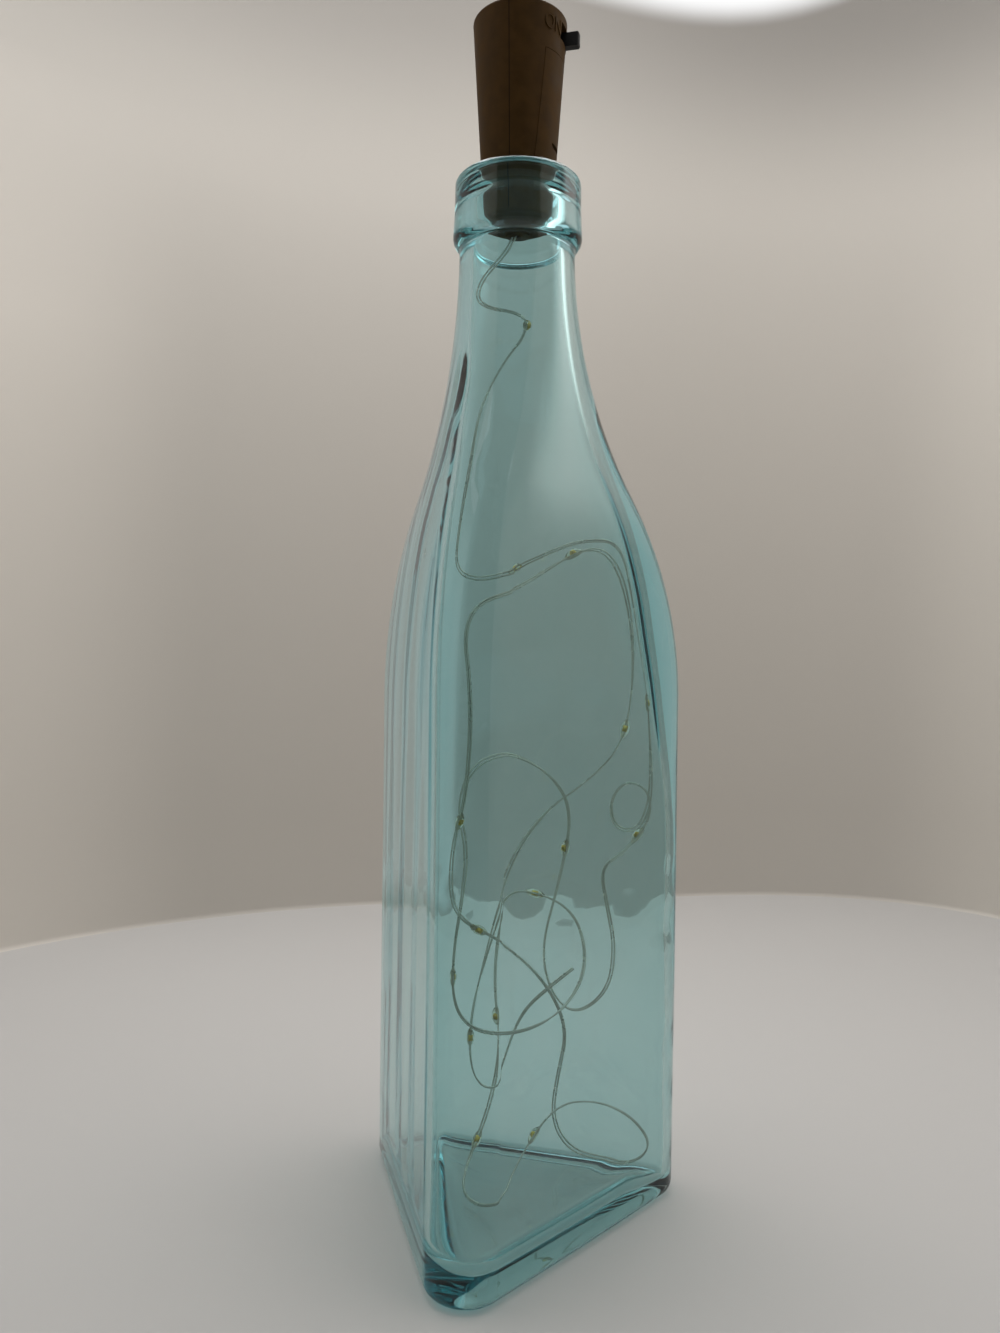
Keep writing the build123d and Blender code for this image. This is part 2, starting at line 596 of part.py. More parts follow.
with BuildPart() as resistor:
    with Locations((-RESISTOR_LENGTH / 2, 0, BOARD_TOP)):
        Box(RESISTOR_WIDTH, RESISTOR_LENGTH, RESISTOR_HEIGHT, align=LOW)
save(resistor, "resistor")

# Feed wires from the board and from the spring's tail to the glue plug
GLUE_X = 2 * FEED_WIRE_RADIUS
FEED_PATHS = (
    (
        (FEED_X, 0, BOARD_BOTTOM),
        (FEED_X, 0, GLUE_TOP + 2.1 * FEED_WIRE_BEND),
        (-GLUE_X, 0, GLUE_TOP + 0.9 * FEED_WIRE_BEND),
        (-GLUE_X, 0, GLUE_TOP),
    ),
    (
        (TAB_X, 0, DOOR_BOTTOM - TAB_TAIL),
        (TAB_X, 0, DOOR_BOTTOM - 2 * TAB_TAIL),
        (GLUE_X, 0, GLUE_TOP + FEED_WIRE_BEND),
        (GLUE_X, 0, GLUE_TOP),
    ),
)

with BuildPart() as feed_wires:
    for points in FEED_PATHS:
        with BuildLine() as feed_line:
            FilletPolyline(*points, radius=2 * FEED_WIRE_RADIUS)
        with BuildSketch(Plane(origin=points[0], z_dir=(0, 0, -1))):
            Circle(FEED_WIRE_RADIUS)
        sweep(path=feed_line.line)
save(feed_wires, "feed_wires")


# Lamp string


def bend_radii(points, lamp_starts, cut_run):
    """Largest bends that leave a tenth of each run straight, or a bead's length on a lamp's run."""
    runs = [points[i + 1] - points[i] for i in range(len(points) - 1)]
    room = [0.45 * run.length for run in runs]
    room[cut_run] = 0.9 * runs[cut_run].length
    for start in lamp_starts:
        room[start] = min(room[start], (runs[start].length - BEAD_LENGTH) / 2)
    radii = []
    for before, after in zip(range(len(runs) - 1), range(1, len(runs))):
        turn = math.radians(runs[before].get_angle(runs[after]))
        radii.append(min(room[before], room[after]) / math.tan(turn / 2))
    return radii


def tell(name, piece, line, radii):
    """Prints a string's least bend and compares its volume with section times length."""
    length = sum(edge.length for edge in line.edges())
    expected = math.pi * STRING_WIDTH**2 / 4 * length
    share = piece.part.volume / expected
    print(f"{name}: length {length:.1f}, least bend radius {min(radii):.2f}, volume share {share:.4f}")
    print("  bend radii: " + " ".join(f"{radius:.1f}" for radius in radii))


exit_points = [Vector(0, 0, BUSH_TOP), Vector(0, 0, NOZZLE_END - STRING_DROP)]
lead_points = exit_points + [Vector(*point) for point in LEAD_POINTS]
loop_points = [Vector(*point) for point in LOOP_POINTS]
cut = (lead_points[-1] + loop_points[0]) / 2
lead_points = lead_points + [cut]
loop_points = [cut] + loop_points
loop_lamps = [start + 1 for start in LAMP_RUNS]
lead_radii = bend_radii(lead_points, [], cut_run=-1)
loop_radii = bend_radii(loop_points, loop_lamps, cut_run=0)

with BuildPart() as string_lead:
    with BuildLine() as lead_line:
        FilletPolyline(*lead_points, radius=lead_radii)
    with BuildSketch(Plane(origin=lead_points[0], z_dir=lead_points[1] - lead_points[0])):
        Circle(STRING_WIDTH / 2)
    sweep(path=lead_line.line)
save(string_lead, "string_lead")
tell("string_lead", string_lead, lead_line, lead_radii)

with BuildPart() as string_loops:
    with BuildLine() as loop_line:
        FilletPolyline(*loop_points, radius=loop_radii)
    with BuildSketch(Plane(origin=loop_points[0], z_dir=loop_points[1] - loop_points[0])):
        Circle(STRING_WIDTH / 2)
    sweep(path=loop_line.line)
save(string_loops, "string_loops")
tell("string_loops", string_loops, loop_line, loop_radii)

# Lamps: a chip on the string inside a clear drop around it
with BuildPart() as chip:
    Box(
        STRING_WIDTH / 2 + CHIP_HEIGHT,
        CHIP_WIDTH,
        CHIP_LENGTH,
        align=(Align.MIN, Align.CENTER, Align.CENTER),
    )
    Cylinder(STRING_WIDTH / 2, 2 * CHIP_LENGTH, mode=Mode.SUBTRACT)

with BuildPart() as bead:
    with BuildSketch(Plane.XZ):
        with BuildLine():
            Polyline(
                (STRING_WIDTH / 2, -0.5 * BEAD_LENGTH),
                (STRING_WIDTH / 2 + BEAD_END, -0.5 * BEAD_LENGTH),
                (0.8 * BEAD_RADIUS, -0.3 * BEAD_LENGTH),
                (BEAD_RADIUS, -0.14 * BEAD_LENGTH),
                (BEAD_RADIUS, 0.14 * BEAD_LENGTH),
                (0.8 * BEAD_RADIUS, 0.3 * BEAD_LENGTH),
                (STRING_WIDTH / 2 + BEAD_END, 0.5 * BEAD_LENGTH),
                (STRING_WIDTH / 2, 0.5 * BEAD_LENGTH),
                close=True,
            )
        make_face()
    revolve(axis=Axis.Z)
    add(chip.part, mode=Mode.SUBTRACT)

lamp_places = []
for start in loop_lamps:
    middle = (loop_points[start] + loop_points[start + 1]) / 2
    along = loop_points[start + 1] - loop_points[start]
    lamp_places.append(Plane(origin=middle, z_dir=along).location)

with BuildPart() as led_beads:
    with Locations(*lamp_places):
        add(bead.part)
save(led_beads, "led_beads")

with BuildPart() as led_chips:
    with Locations(*lamp_places):
        add(chip.part)
save(led_chips, "led_chips")
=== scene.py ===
"""Looks of the cork bottle light: the glass, the brown cork with its switch and door, and the lamp string,
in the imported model's frame. Metres, +Z up, the photograph's camera."""

import math

import bmesh
import bpy
from mathutils import Matrix, Vector


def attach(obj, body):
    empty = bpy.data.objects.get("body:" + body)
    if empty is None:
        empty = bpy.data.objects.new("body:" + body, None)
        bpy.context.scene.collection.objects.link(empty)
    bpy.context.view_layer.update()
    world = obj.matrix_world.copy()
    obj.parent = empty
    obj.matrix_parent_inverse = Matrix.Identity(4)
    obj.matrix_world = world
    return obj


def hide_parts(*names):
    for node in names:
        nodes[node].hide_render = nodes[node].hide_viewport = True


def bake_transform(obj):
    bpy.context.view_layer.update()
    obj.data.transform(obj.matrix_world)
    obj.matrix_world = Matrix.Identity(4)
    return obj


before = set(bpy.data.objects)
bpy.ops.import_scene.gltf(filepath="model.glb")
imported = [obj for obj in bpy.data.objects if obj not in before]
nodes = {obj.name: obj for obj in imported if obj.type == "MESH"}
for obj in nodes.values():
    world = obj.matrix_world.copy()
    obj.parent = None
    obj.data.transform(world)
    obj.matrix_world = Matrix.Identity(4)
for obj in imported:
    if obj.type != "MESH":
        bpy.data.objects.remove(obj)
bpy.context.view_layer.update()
scene = bpy.context.scene
scene.view_settings.view_transform = "Standard"
# Light runs far inside the bottle's walls, so its paths may be long
scene.cycles.max_bounces = 24
scene.cycles.glossy_bounces = 20
scene.cycles.transmission_bounces = 24
scene.cycles.transparent_max_bounces = 16
MM = 0.001


# Small helpers for meshes and nodes


def new_object(name, mesh):
    """Puts a mesh into the scene under a name."""
    piece = bpy.data.objects.new(name, mesh)
    scene.collection.objects.link(piece)
    return piece


def smooth(mesh):
    """Shades every face smooth."""
    mesh.polygons.foreach_set("use_smooth", [True] * len(mesh.polygons))
    mesh.update()


def finished(mesh, name, soft=True):
    """Turns a bmesh into a named mesh, shaded smooth or flat."""
    data = bpy.data.meshes.new(name)
    mesh.to_mesh(data)
    mesh.free()
    if soft:
        smooth(data)
    return data


def bridge(mesh, low, high):
    """Joins two rings of equal counts by a band of faces."""
    count = len(low)
    for i in range(count):
        j = (i + 1) % count
        mesh.faces.new((low[i], low[j], high[j], high[i]))


def evaluated_mesh(carrier):
    """The plain mesh of what an object's curve, text or modifier makes. The object is removed."""
    bpy.context.view_layer.update()
    depsgraph = bpy.context.evaluated_depsgraph_get()
    mesh = bpy.data.meshes.new_from_object(carrier.evaluated_get(depsgraph))
    bpy.data.objects.remove(carrier)
    return mesh


def clamp(value):
    """A value kept between 0 and 1."""
    return min(max(value, 0.0), 1.0)


def new_material(name):
    """An empty node material with its output and Principled shader."""
    material = bpy.data.materials.new(name)
    material.use_nodes = True
    tree = material.node_tree
    shader = tree.nodes["Principled BSDF"]
    output = tree.nodes["Material Output"]
    return material, tree, shader, output


def node(tree, kind, **settings):
    """Adds a node and sets its named inputs or properties."""
    item = tree.nodes.new(kind)
    for key, value in settings.items():
        if hasattr(item, key):
            setattr(item, key, value)
        else:
            item.inputs[key.replace("_", " ")].default_value = value
    return item


def mix_over(tree, mask, below, above, output):
    """Shows one shader in place of another, as far as a mask goes."""
    mix = node(tree, "ShaderNodeMixShader")
    tree.links.new(mask, mix.inputs[0])
    tree.links.new(below, mix.inputs[1])
    tree.links.new(above, mix.inputs[2])
    tree.links.new(mix.outputs["Shader"], output.inputs["Surface"])


def let_lamps_through(tree, shader, output, colour):
    """Lets lamp light pass a clear material on a straight way, so that what lies behind is lit."""
    path = node(tree, "ShaderNodeLightPath")
    clear = node(tree, "ShaderNodeBsdfTransparent")
    clear.inputs["Color"].default_value = (*colour, 1)
    mix_over(tree, path.outputs["Is Shadow Ray"], shader.outputs["BSDF"], clear.outputs["BSDF"], output)


def srgb(red, green, blue):
    """Linear colour of an sRGB value from 0 to 255."""
    values = []
    for part in (red, green, blue):
        share = part / 255
        values.append(share / 12.92 if share < 0.04045 else ((share + 0.055) / 1.055) ** 2.4)
    return tuple(values)


def mottle_group():
    """Fine mottling: a colour between two shades and a roughness between two values."""
    tree = bpy.data.node_groups.new("fine_mottle", "ShaderNodeTree")
    for name, kind in (
        ("Place", "NodeSocketVector"),
        ("Scale", "NodeSocketFloat"),
        ("Dark", "NodeSocketColor"),
        ("Light", "NodeSocketColor"),
        ("Smoothest", "NodeSocketFloat"),
        ("Roughest", "NodeSocketFloat"),
    ):
        tree.interface.new_socket(name, in_out="INPUT", socket_type=kind)
    tree.interface.new_socket("Color", in_out="OUTPUT", socket_type="NodeSocketColor")
    tree.interface.new_socket("Roughness", in_out="OUTPUT", socket_type="NodeSocketFloat")
    ins = tree.nodes.new("NodeGroupInput")
    outs = tree.nodes.new("NodeGroupOutput")
    noise = node(tree, "ShaderNodeTexNoise", Detail=4.0)
    spread = node(tree, "ShaderNodeMapRange", From_Min=0.35, From_Max=0.65)
    shade = node(tree, "ShaderNodeMix", data_type="RGBA")
    rough = node(tree, "ShaderNodeMapRange")
    link = tree.links.new
    link(ins.outputs["Place"], noise.inputs["Vector"])
    link(ins.outputs["Scale"], noise.inputs["Scale"])
    link(noise.outputs["Fac"], spread.inputs["Value"])
    link(spread.outputs["Result"], shade.inputs["Factor"])
    link(ins.outputs["Dark"], shade.inputs["A"])
    link(ins.outputs["Light"], shade.inputs["B"])
    link(spread.outputs["Result"], rough.inputs["Value"])
    link(ins.outputs["Smoothest"], rough.inputs["To Min"])
    link(ins.outputs["Roughest"], rough.inputs["To Max"])
    link(shade.outputs["Result"], outs.inputs["Color"])
    link(rough.outputs["Result"], outs.inputs["Roughness"])
    return tree


MOTTLE = mottle_group()


def vary(tree, shader, dark, light, scale, roughness=None):
    """Varies a shader's colour between two shades, and its roughness between two values if given."""
    coordinates = node(tree, "ShaderNodeTexCoord")
    mottle = node(tree, "ShaderNodeGroup", node_tree=MOTTLE)
    mottle.inputs["Scale"].default_value = scale
    mottle.inputs["Dark"].default_value = (*dark, 1)
    mottle.inputs["Light"].default_value = (*light, 1)
    tree.links.new(coordinates.outputs["Object"], mottle.inputs["Place"])
    tree.links.new(mottle.outputs["Color"], shader.inputs["Base Color"])
    if roughness:
        mottle.inputs["Smoothest"].default_value = roughness[0]
        mottle.inputs["Roughest"].default_value = roughness[1]
        tree.links.new(mottle.outputs["Roughness"], shader.inputs["Roughness"])


def mottled(name, dark, light, scale, roughness, metallic=0.0, specular=0.5):
    """A solid material whose colour and roughness vary finely over the surface."""
    material, tree, shader, output = new_material(name)
    vary(tree, shader, dark, light, scale, roughness)
    shader.inputs["Metallic"].default_value = metallic
    shader.inputs["Specular IOR Level"].default_value = specular
    return material


# Camera

CAMERA_PLACE = Vector((0.06082, -0.24678, 0.14119))
CAMERA_FORWARD = Vector((-0.2509, 0.9679, -0.0141))
CAMERA_ROLL = math.radians(0.736)

camera_data = bpy.data.cameras.new("camera")
camera_data.lens = 27.007
camera_data.sensor_width = 36
camera_data.sensor_fit = "AUTO"
camera_data.clip_start = 0.01
camera_data.clip_end = 20
camera = new_object("camera", camera_data)
turn = CAMERA_FORWARD.to_track_quat("-Z", "Y").to_matrix().to_4x4()
camera.matrix_world = Matrix.Translation(CAMERA_PLACE) @ turn @ Matrix.Rotation(CAMERA_ROLL, 4, "Z")
scene.camera = camera

# Glass bottle: the solid's sizes outside, and an inside of its own

BOTTLE_HEIGHT = 259.5
BODY_HEIGHT = 128.7
SIDE_DISTANCE = 27.85
CORNER_RADIUS = 10.0
INNER_CORNER_RADIUS = 6.0
WALL = 3.6
FLOOR = 4.4
HEEL_RADIUS = 3.5
NECK_RADIUS = 14.6
NECK_WALL = 3.5
BORE_RADIUS = 9.38
NECK_SHARE = 0.54
BODY_SIDE_TURN = 0.8
NECK_SIDE_TURN = 12.0
LIP_HEIGHT = 17.3
LIP_RADIUS = 15.9
LIP_FLARE = 0.4
LIP_ROUND = 3.0
LIP_ROOT = 0.7
RIM_ROUND = 1.4
MOUTH_ROUND = 0.8
SHOULDER_TOP = BOTTLE_HEIGHT - LIP_HEIGHT
CORNER_STEPS = 26
SIDE_STEPS = 18
OUTER_RING_STEP = 4.0
INNER_RING_STEP = 3.5
# The bore: a mouth, a slope below it, a wider lip and a throat
MOUTH_HEIGHT = 3.0
MOUTH_SLOPE = 4.5
LIP_WALL = 5.5
THROAT_HEIGHT = 3.0
# The inner heel is tight along the far wall and wide along the front
INNER_HEEL_FAR = 2.0
INNER_HEEL_NEAR = 8.0
INNER_CORNER_LEAST = 1.5
# The underside's rise: where it starts from the edge and its width, at the front and at the back
PUSH_UP = 2.9
RISE_FRONT = (3.8, 9.2)
RISE_BACK = (4.2, 7.0)
BACK_RISE_SHARE = 0.83
UNDERSIDE_INNERMOST = 19.0
UNDERSIDE_STEP = 0.8
UNDERSIDE_STEPS = 20
# Where the front's forms end, and over what depth they give way to the far wall's
FRONT_END = 14
FRONT_FADE = 12
# Unevenness of the blown glass, outside and inside
UNEVEN_OUTSIDE = 0.10
UNEVEN_INSIDE = 0.32
FAR_RIPPLE = 0.45
LEFT_STREAKS = 0.3


def side_ratio(side_turn):
    """Corner reach gained for each millimetre of side distance past the corner radius."""
    spread = math.sin(math.radians(60)) - math.sin(math.radians(60 - side_turn))
    return math.sin(math.radians(side_turn)) / spread


def corner_reach(side_distance, corner_radius):
    """Distance from the axis to a corner's tip on the straight body."""
    return corner_radius + (side_distance - corner_radius) * side_ratio(BODY_SIDE_TURN)


def section(reach, corner_radius, side_turn):
    """Points around three corner arcs and three slightly bowed sides, with equal counts at every height."""
    out = reach - corner_radius
    stretch = out / math.sin(math.radians(side_turn))
    side_radius = corner_radius + stretch * math.sin(math.radians(60))
    side_back = stretch * math.sin(math.radians(60 - side_turn))
    corner_turn = 60 - side_turn
    points = []
    for corner in (-90, 30, 150):
        for centre, middle, radius, spread, steps in (
            (out, corner, corner_radius, corner_turn, CORNER_STEPS),
            (-side_back, corner + 60, side_radius, side_turn, SIDE_STEPS),
        ):
            along = math.radians(middle)
            for step in range(steps):
                angle = math.radians(middle - spread + 2 * spread * step / steps)
                points.append(
                    (
                        centre * math.cos(along) + radius * math.cos(angle),
                        centre * math.sin(along) + radius * math.sin(angle),
                    )
                )
    return points


OUTER_REACH = corner_reach(SIDE_DISTANCE, CORNER_RADIUS)
NECK_INNER_RADIUS = NECK_RADIUS - NECK_WALL
# Radius that glass adds to the near, right and left inner corner, low in the body and at the shoulder
CORNER_FILL = ((1.7, 2.0), (0.5, 7.5), (3.0, 4.0))
# Turn, height, width in degrees, height and depth of each thick spot
THICK_SPOTS = ((-131, 205, 9, 6, 0.75), (-137, 190, 8, 8, 0.6), (-142, 178, 7, 6, 0.4))
FILL_FROM = 95.0
FILL_TO = 150.0


def shoulder_share(z):
    """Share of the way from neck to body at a height."""
    rise = OUTER_REACH - NECK_RADIUS
    fall = SHOULDER_TOP - BODY_HEIGHT
    both = (fall**2 + rise**2) / (2 * rise)
    neck_arc = NECK_SHARE * both
    body_arc = both - neck_arc
    down = SHOULDER_TOP - z
    if down < NECK_SHARE * fall:
        return (neck_arc - math.sqrt(neck_arc**2 - down**2)) / rise
    return 1 - (body_arc - math.sqrt(body_arc**2 - (fall - down) ** 2)) / rise


def wall_section(z, neck_radius, reach, corner_radius):
    """The outline of the outer or inner wall at a height from the body up to the neck."""
    if z <= BODY_HEIGHT:
        share = 1.0
    else:
        share = shoulder_share(min(z, SHOULDER_TOP))
    return section(
        neck_radius + (reach - neck_radius) * share,
        neck_radius + (corner_radius - neck_radius) * share,
        NECK_SIDE_TURN + (BODY_SIDE_TURN - NECK_SIDE_TURN) * share,
    )


def inner_outline(z, inset=0.0):
    """The inner wall at a height. Each corner fills with glass towards the shoulder by its own amount."""
    rise = clamp((z - FILL_FROM) / (FILL_TO - FILL_FROM))
    outlines = []
    for low, high in CORNER_FILL:
        radius = INNER_CORNER_RADIUS + low + (high - low) * rise * rise * (3 - 2 * rise)
        radius = max(radius - inset, INNER_CORNER_LEAST)
        reach = corner_reach(SIDE_DISTANCE - WALL - inset, radius)
        outlines.append(wall_section(z, NECK_INNER_RADIUS, reach, radius))
    block = CORNER_STEPS + SIDE_STEPS
    points = []
    for i in range(3 * block):
        corner, step = divmod(i, block)
        share = max(0.0, (step - CORNER_STEPS) / SIDE_STEPS)
        here, following = outlines[corner][i], outlines[(corner + 1) % 3][i]
        points.append(tuple(a + (b - a) * share for a, b in zip(here, following)))
    return points


def inset_section(inset, reach, corner_radius):
    """The body's outline moved inwards, for the rounded heel."""
    return section(reach - inset, corner_radius - inset, BODY_SIDE_TURN)


def underside(inset):
    """The base's outline moved inwards, and only made smaller where its corners have closed."""
    closed = CORNER_RADIUS - 1.0
    if inset < closed:
        return inset_section(inset, OUTER_REACH, CORNER_RADIUS)
    size = (SIDE_DISTANCE - inset) / (SIDE_DISTANCE - closed)
    return [(x * size, y * size) for x, y in inset_section(closed, OUTER_REACH, CORNER_RADIUS)]


def front_share(y):
    """How far a depth belongs to the front, above 1 near the camera and below 0 at the far wall."""
    return (FRONT_END - y) / FRONT_FADE


def push_up(inset, y):
    """The underside's rise at a distance from its edge: even at the front, a soft step at the back."""
    front, back = (clamp((inset - start) / width) for start, width in (RISE_FRONT, RISE_BACK))
    share = clamp(front_share(y))
    return PUSH_UP * (front * share + BACK_RISE_SHARE * back * back * (3 - 2 * back) * (1 - share))


def ring_of(radius):
    """A round outline with the same points around as the neck."""
    return section(radius, radius, NECK_SIDE_TURN)


def heel_rings(height, radius, reach, corner_radius, steps=8):
    """Rings around a heel's quarter round, from the flat outwards."""
    rings = []
    for step in range(steps + 1):
        angle = math.pi / 2 * step / steps
        inset = radius * (1 - math.sin(angle))
        rings.append((height + radius * (1 - math.cos(angle)), inset_section(inset, reach, corner_radius)))
    return rings


def inner_heel_rings(steps):
    """Rings down the inner heel's quarter round, wide along the front and tight along the far wall."""
    rings = []
    for step in range(steps, -1, -1):
        angle = math.pi / 2 * step / steps
        heel = []
        for radius in (INNER_HEEL_FAR, INNER_HEEL_NEAR):
            outline = inner_outline(FLOOR, radius * (1 - math.sin(angle)))
            heel.append([(x, y, FLOOR + radius * (1 - math.cos(angle))) for x, y in outline])
        ring = []
        for far, near in zip(*heel):
            waves = 0.12 * math.sin(0.4 * far[0] + 1.0) + 0.08 * math.sin(0.93 * far[0])
            share = clamp(front_share(far[1]) + 0.1 + waves)
            ring.append(tuple(a + (b - a) * share for a, b in zip(far, near)))
        rings.append((FLOOR, ring, "floor"))
    return rings


def wander(x, y, z, seed):
    """Slow unevenness of blown glass, from -1 to 1."""
    return (
        0.45 * math.sin(0.061 * z + 0.055 * x + 1.3 * seed)
        + 0.30 * math.sin(0.093 * y - 0.047 * z + 2.1 * seed + 0.7)
        + 0.25 * math.sin(0.13 * x + 0.11 * y + 0.035 * z + 0.9 * seed)
    )


def ripple(x, y, z):
    """Short ripples low on the far wall and upright streaks on the left wall, in millimetres."""
    far = clamp((y - 6) / 12)
    low = clamp((118 - z) / 40)
    broad = math.sin(0.31 * x + 0.12 * z + 0.4) * math.sin(0.29 * z - 0.10 * x + 1.1)
    fine = math.sin(0.47 * x - 0.21 * z + 2.2) * math.sin(0.36 * z + 0.5)
    along = 0.5 * x - 0.866 * y
    left = clamp((-0.866 * x - 0.5 * y - 17) / 6) * clamp((22 - along) / 12)
    slow = math.sin(0.36 * along + 1.4 * math.sin(0.021 * z + 0.6))
    quick = math.sin(0.67 * along - 0.05 * z)
    return FAR_RIPPLE * (broad + 0.6 * fine) * far * low + LEFT_STREAKS * (slow + 0.5 * quick) * left


def thick_spots(x, y, z):
    """Glass gathered in spots of the left shoulder, in millimetres inwards."""
    turn = math.degrees(math.atan2(y, x))
    total = 0.0
    for spot_turn, spot_z, width, height, depth in THICK_SPOTS:
        total += depth * math.exp(-(((turn - spot_turn) / width) ** 2) - ((z - spot_z) / height) ** 2)
    return total


def quarter(steps):
    """Sine and cosine at even steps of a quarter turn."""
    for step in range(steps + 1):
        angle = math.pi / 2 * step / steps
        yield math.sin(angle), math.cos(angle)


def bottle_rings():
    """Height, outline and part of each ring: up the outside, over the lip and down the inside."""
    rings = []
    for step in range(UNDERSIDE_STEPS):
        inset = UNDERSIDE_INNERMOST - UNDERSIDE_STEP * step
        rings.append((0.0, [(x, y, push_up(inset, y)) for x, y in underside(inset)], "base"))
    rings += [(z, outline, "base") for z, outline in heel_rings(0, HEEL_RADIUS, OUTER_REACH, CORNER_RADIUS)]
    z = HEEL_RADIUS
    while z + OUTER_RING_STEP + 0.5 < SHOULDER_TOP:
        z += OUTER_RING_STEP
        rings.append((z, wall_section(z, NECK_RADIUS, OUTER_REACH, CORNER_RADIUS), "outer"))

    # Lip: a soft root, a rounded lower corner, a straight band and a rounded rim
    lower = LIP_RADIUS + LIP_FLARE
    for sine, cosine in quarter(4):
        radius = NECK_RADIUS + LIP_ROOT * (1 - cosine) * 0.6
        rings.append((SHOULDER_TOP - LIP_ROOT * (1 - sine) + 0.35, ring_of(radius), "lip"))
    for sine, cosine in quarter(8):
        radius = lower - LIP_ROUND + LIP_ROUND * sine
        if radius > NECK_RADIUS + 0.5:
            rings.append((SHOULDER_TOP + LIP_ROUND * (1 - cosine) + 0.1, ring_of(radius), "lip"))
    for step in range(1, 6):
        share = step / 6
        z = SHOULDER_TOP + LIP_ROUND + (LIP_HEIGHT - LIP_ROUND - RIM_ROUND) * share
        rings.append((z, ring_of(lower - LIP_FLARE * share - 0.12 * math.sin(math.pi * share)), "lip"))
    for sine, cosine in quarter(6):
        radius = LIP_RADIUS - RIM_ROUND * (1 - cosine)
        rings.append((BOTTLE_HEIGHT - RIM_ROUND * (1 - sine), ring_of(radius), "lip"))
    for sine, cosine in quarter(6):
        radius = BORE_RADIUS + MOUTH_ROUND * (1 - sine)
        rings.append((BOTTLE_HEIGHT - MOUTH_ROUND * (1 - cosine), ring_of(radius), "lip"))

    # Bore and inside
    lip_bore = LIP_RADIUS - LIP_WALL
    for top, height, wide, narrow in (
        (BOTTLE_HEIGHT - MOUTH_HEIGHT, MOUTH_SLOPE, lip_bore, BORE_RADIUS),
        (SHOULDER_TOP + THROAT_HEIGHT, THROAT_HEIGHT, NECK_INNER_RADIUS, lip_bore),
    ):
        for step in range(9):
            share = step / 8
            radius = narrow + (wide - narrow) * share * share * (3 - 2 * share)
            rings.append((top - height * share, ring_of(radius), "lip"))
    z = SHOULDER_TOP
    while z - INNER_RING_STEP - 1 > FLOOR + INNER_HEEL_NEAR:
        z -= INNER_RING_STEP
        rings.append((z, inner_outline(z), "inner"))
    return rings + inner_heel_rings(12)


def unevenness(x, y, z, part):
    """How far blown glass departs outwards from an even wall, in millimetres."""
    if part == "outer":
        return UNEVEN_OUTSIDE * wander(x, y, z, 1.0)
    if part == "inner" and z < SHOULDER_TOP:
        waves = UNEVEN_INSIDE * wander(x, y, z, 2.6) + ripple(x, y, z)
        return waves * min(1.0, (SHOULDER_TOP - z) / 30) - thick_spots(x, y, z)
    return 0.0


def bottle_mesh():
    """One closed skin: base, heel, outside, lip, bore, inside and floor."""
    mesh = bmesh.new()
    loops = []
    for level, outline, part in bottle_rings():
        loop = []
        for x, y, *own in outline:
            z = own[0] if own else level
            reach = math.hypot(x, y)
            factor = (reach + unevenness(x, y, z, part)) / reach
            loop.append(mesh.verts.new((x * factor * MM, y * factor * MM, z * MM)))
        loops.append(loop)
    count = len(loops[0])
    for low, high in zip(loops, loops[1:]):
        bridge(mesh, low, high)
    for loop, height, flip in ((loops[0], PUSH_UP, True), (loops[-1], FLOOR + 0.2, False)):
        centre = mesh.verts.new((0, 0, height * MM))
        middle = []
        for v in loop:
            rise = (height * MM - v.co.z) * 0.75
            middle.append(mesh.verts.new((v.co.x * 0.5, v.co.y * 0.5, v.co.z + rise)))
        for i in range(count):
            j = (i + 1) % count
            quad = (loop[i], loop[j], middle[j], middle[i])
            tip = (middle[i], middle[j], centre)
            mesh.faces.new(tuple(reversed(quad)) if flip else quad)
            mesh.faces.new(tuple(reversed(tip)) if flip else tip)
    bmesh.ops.recalc_face_normals(mesh, faces=mesh.faces)
    return finished(mesh, "bottle_glass")


def glass_material():
    """Pale aqua bottle glass, with part of its colour on its surface and part in its body."""
    material, tree, shader, output = new_material("aqua_glass")
    vary(tree, shader, (0.788, 0.930, 0.943), (0.812, 0.942, 0.953), 40.0)
    shader.inputs["Roughness"].default_value = 0.0
    shader.inputs["IOR"].default_value = 1.5
    shader.inputs["Transmission Weight"].default_value = 1.0
    volume = node(tree, "ShaderNodeVolumeAbsorption")
    volume.inputs["Color"].default_value = (0.08, 0.72, 0.78, 1)
    volume.inputs["Density"].default_value = 42.0
    tree.links.new(volume.outputs["Volume"], output.inputs["Volume"])
    let_lamps_through(tree, shader, output, (0.78, 0.68, 0.66))
    return material


bottle = new_object("bottle_glass", bottle_mesh())
bottle.data.materials.append(glass_material())
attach(bottle, "bottle")
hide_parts("glass_bottle")

# Lamp string: the route's points, in millimetres, from the cork's bush to the bare end

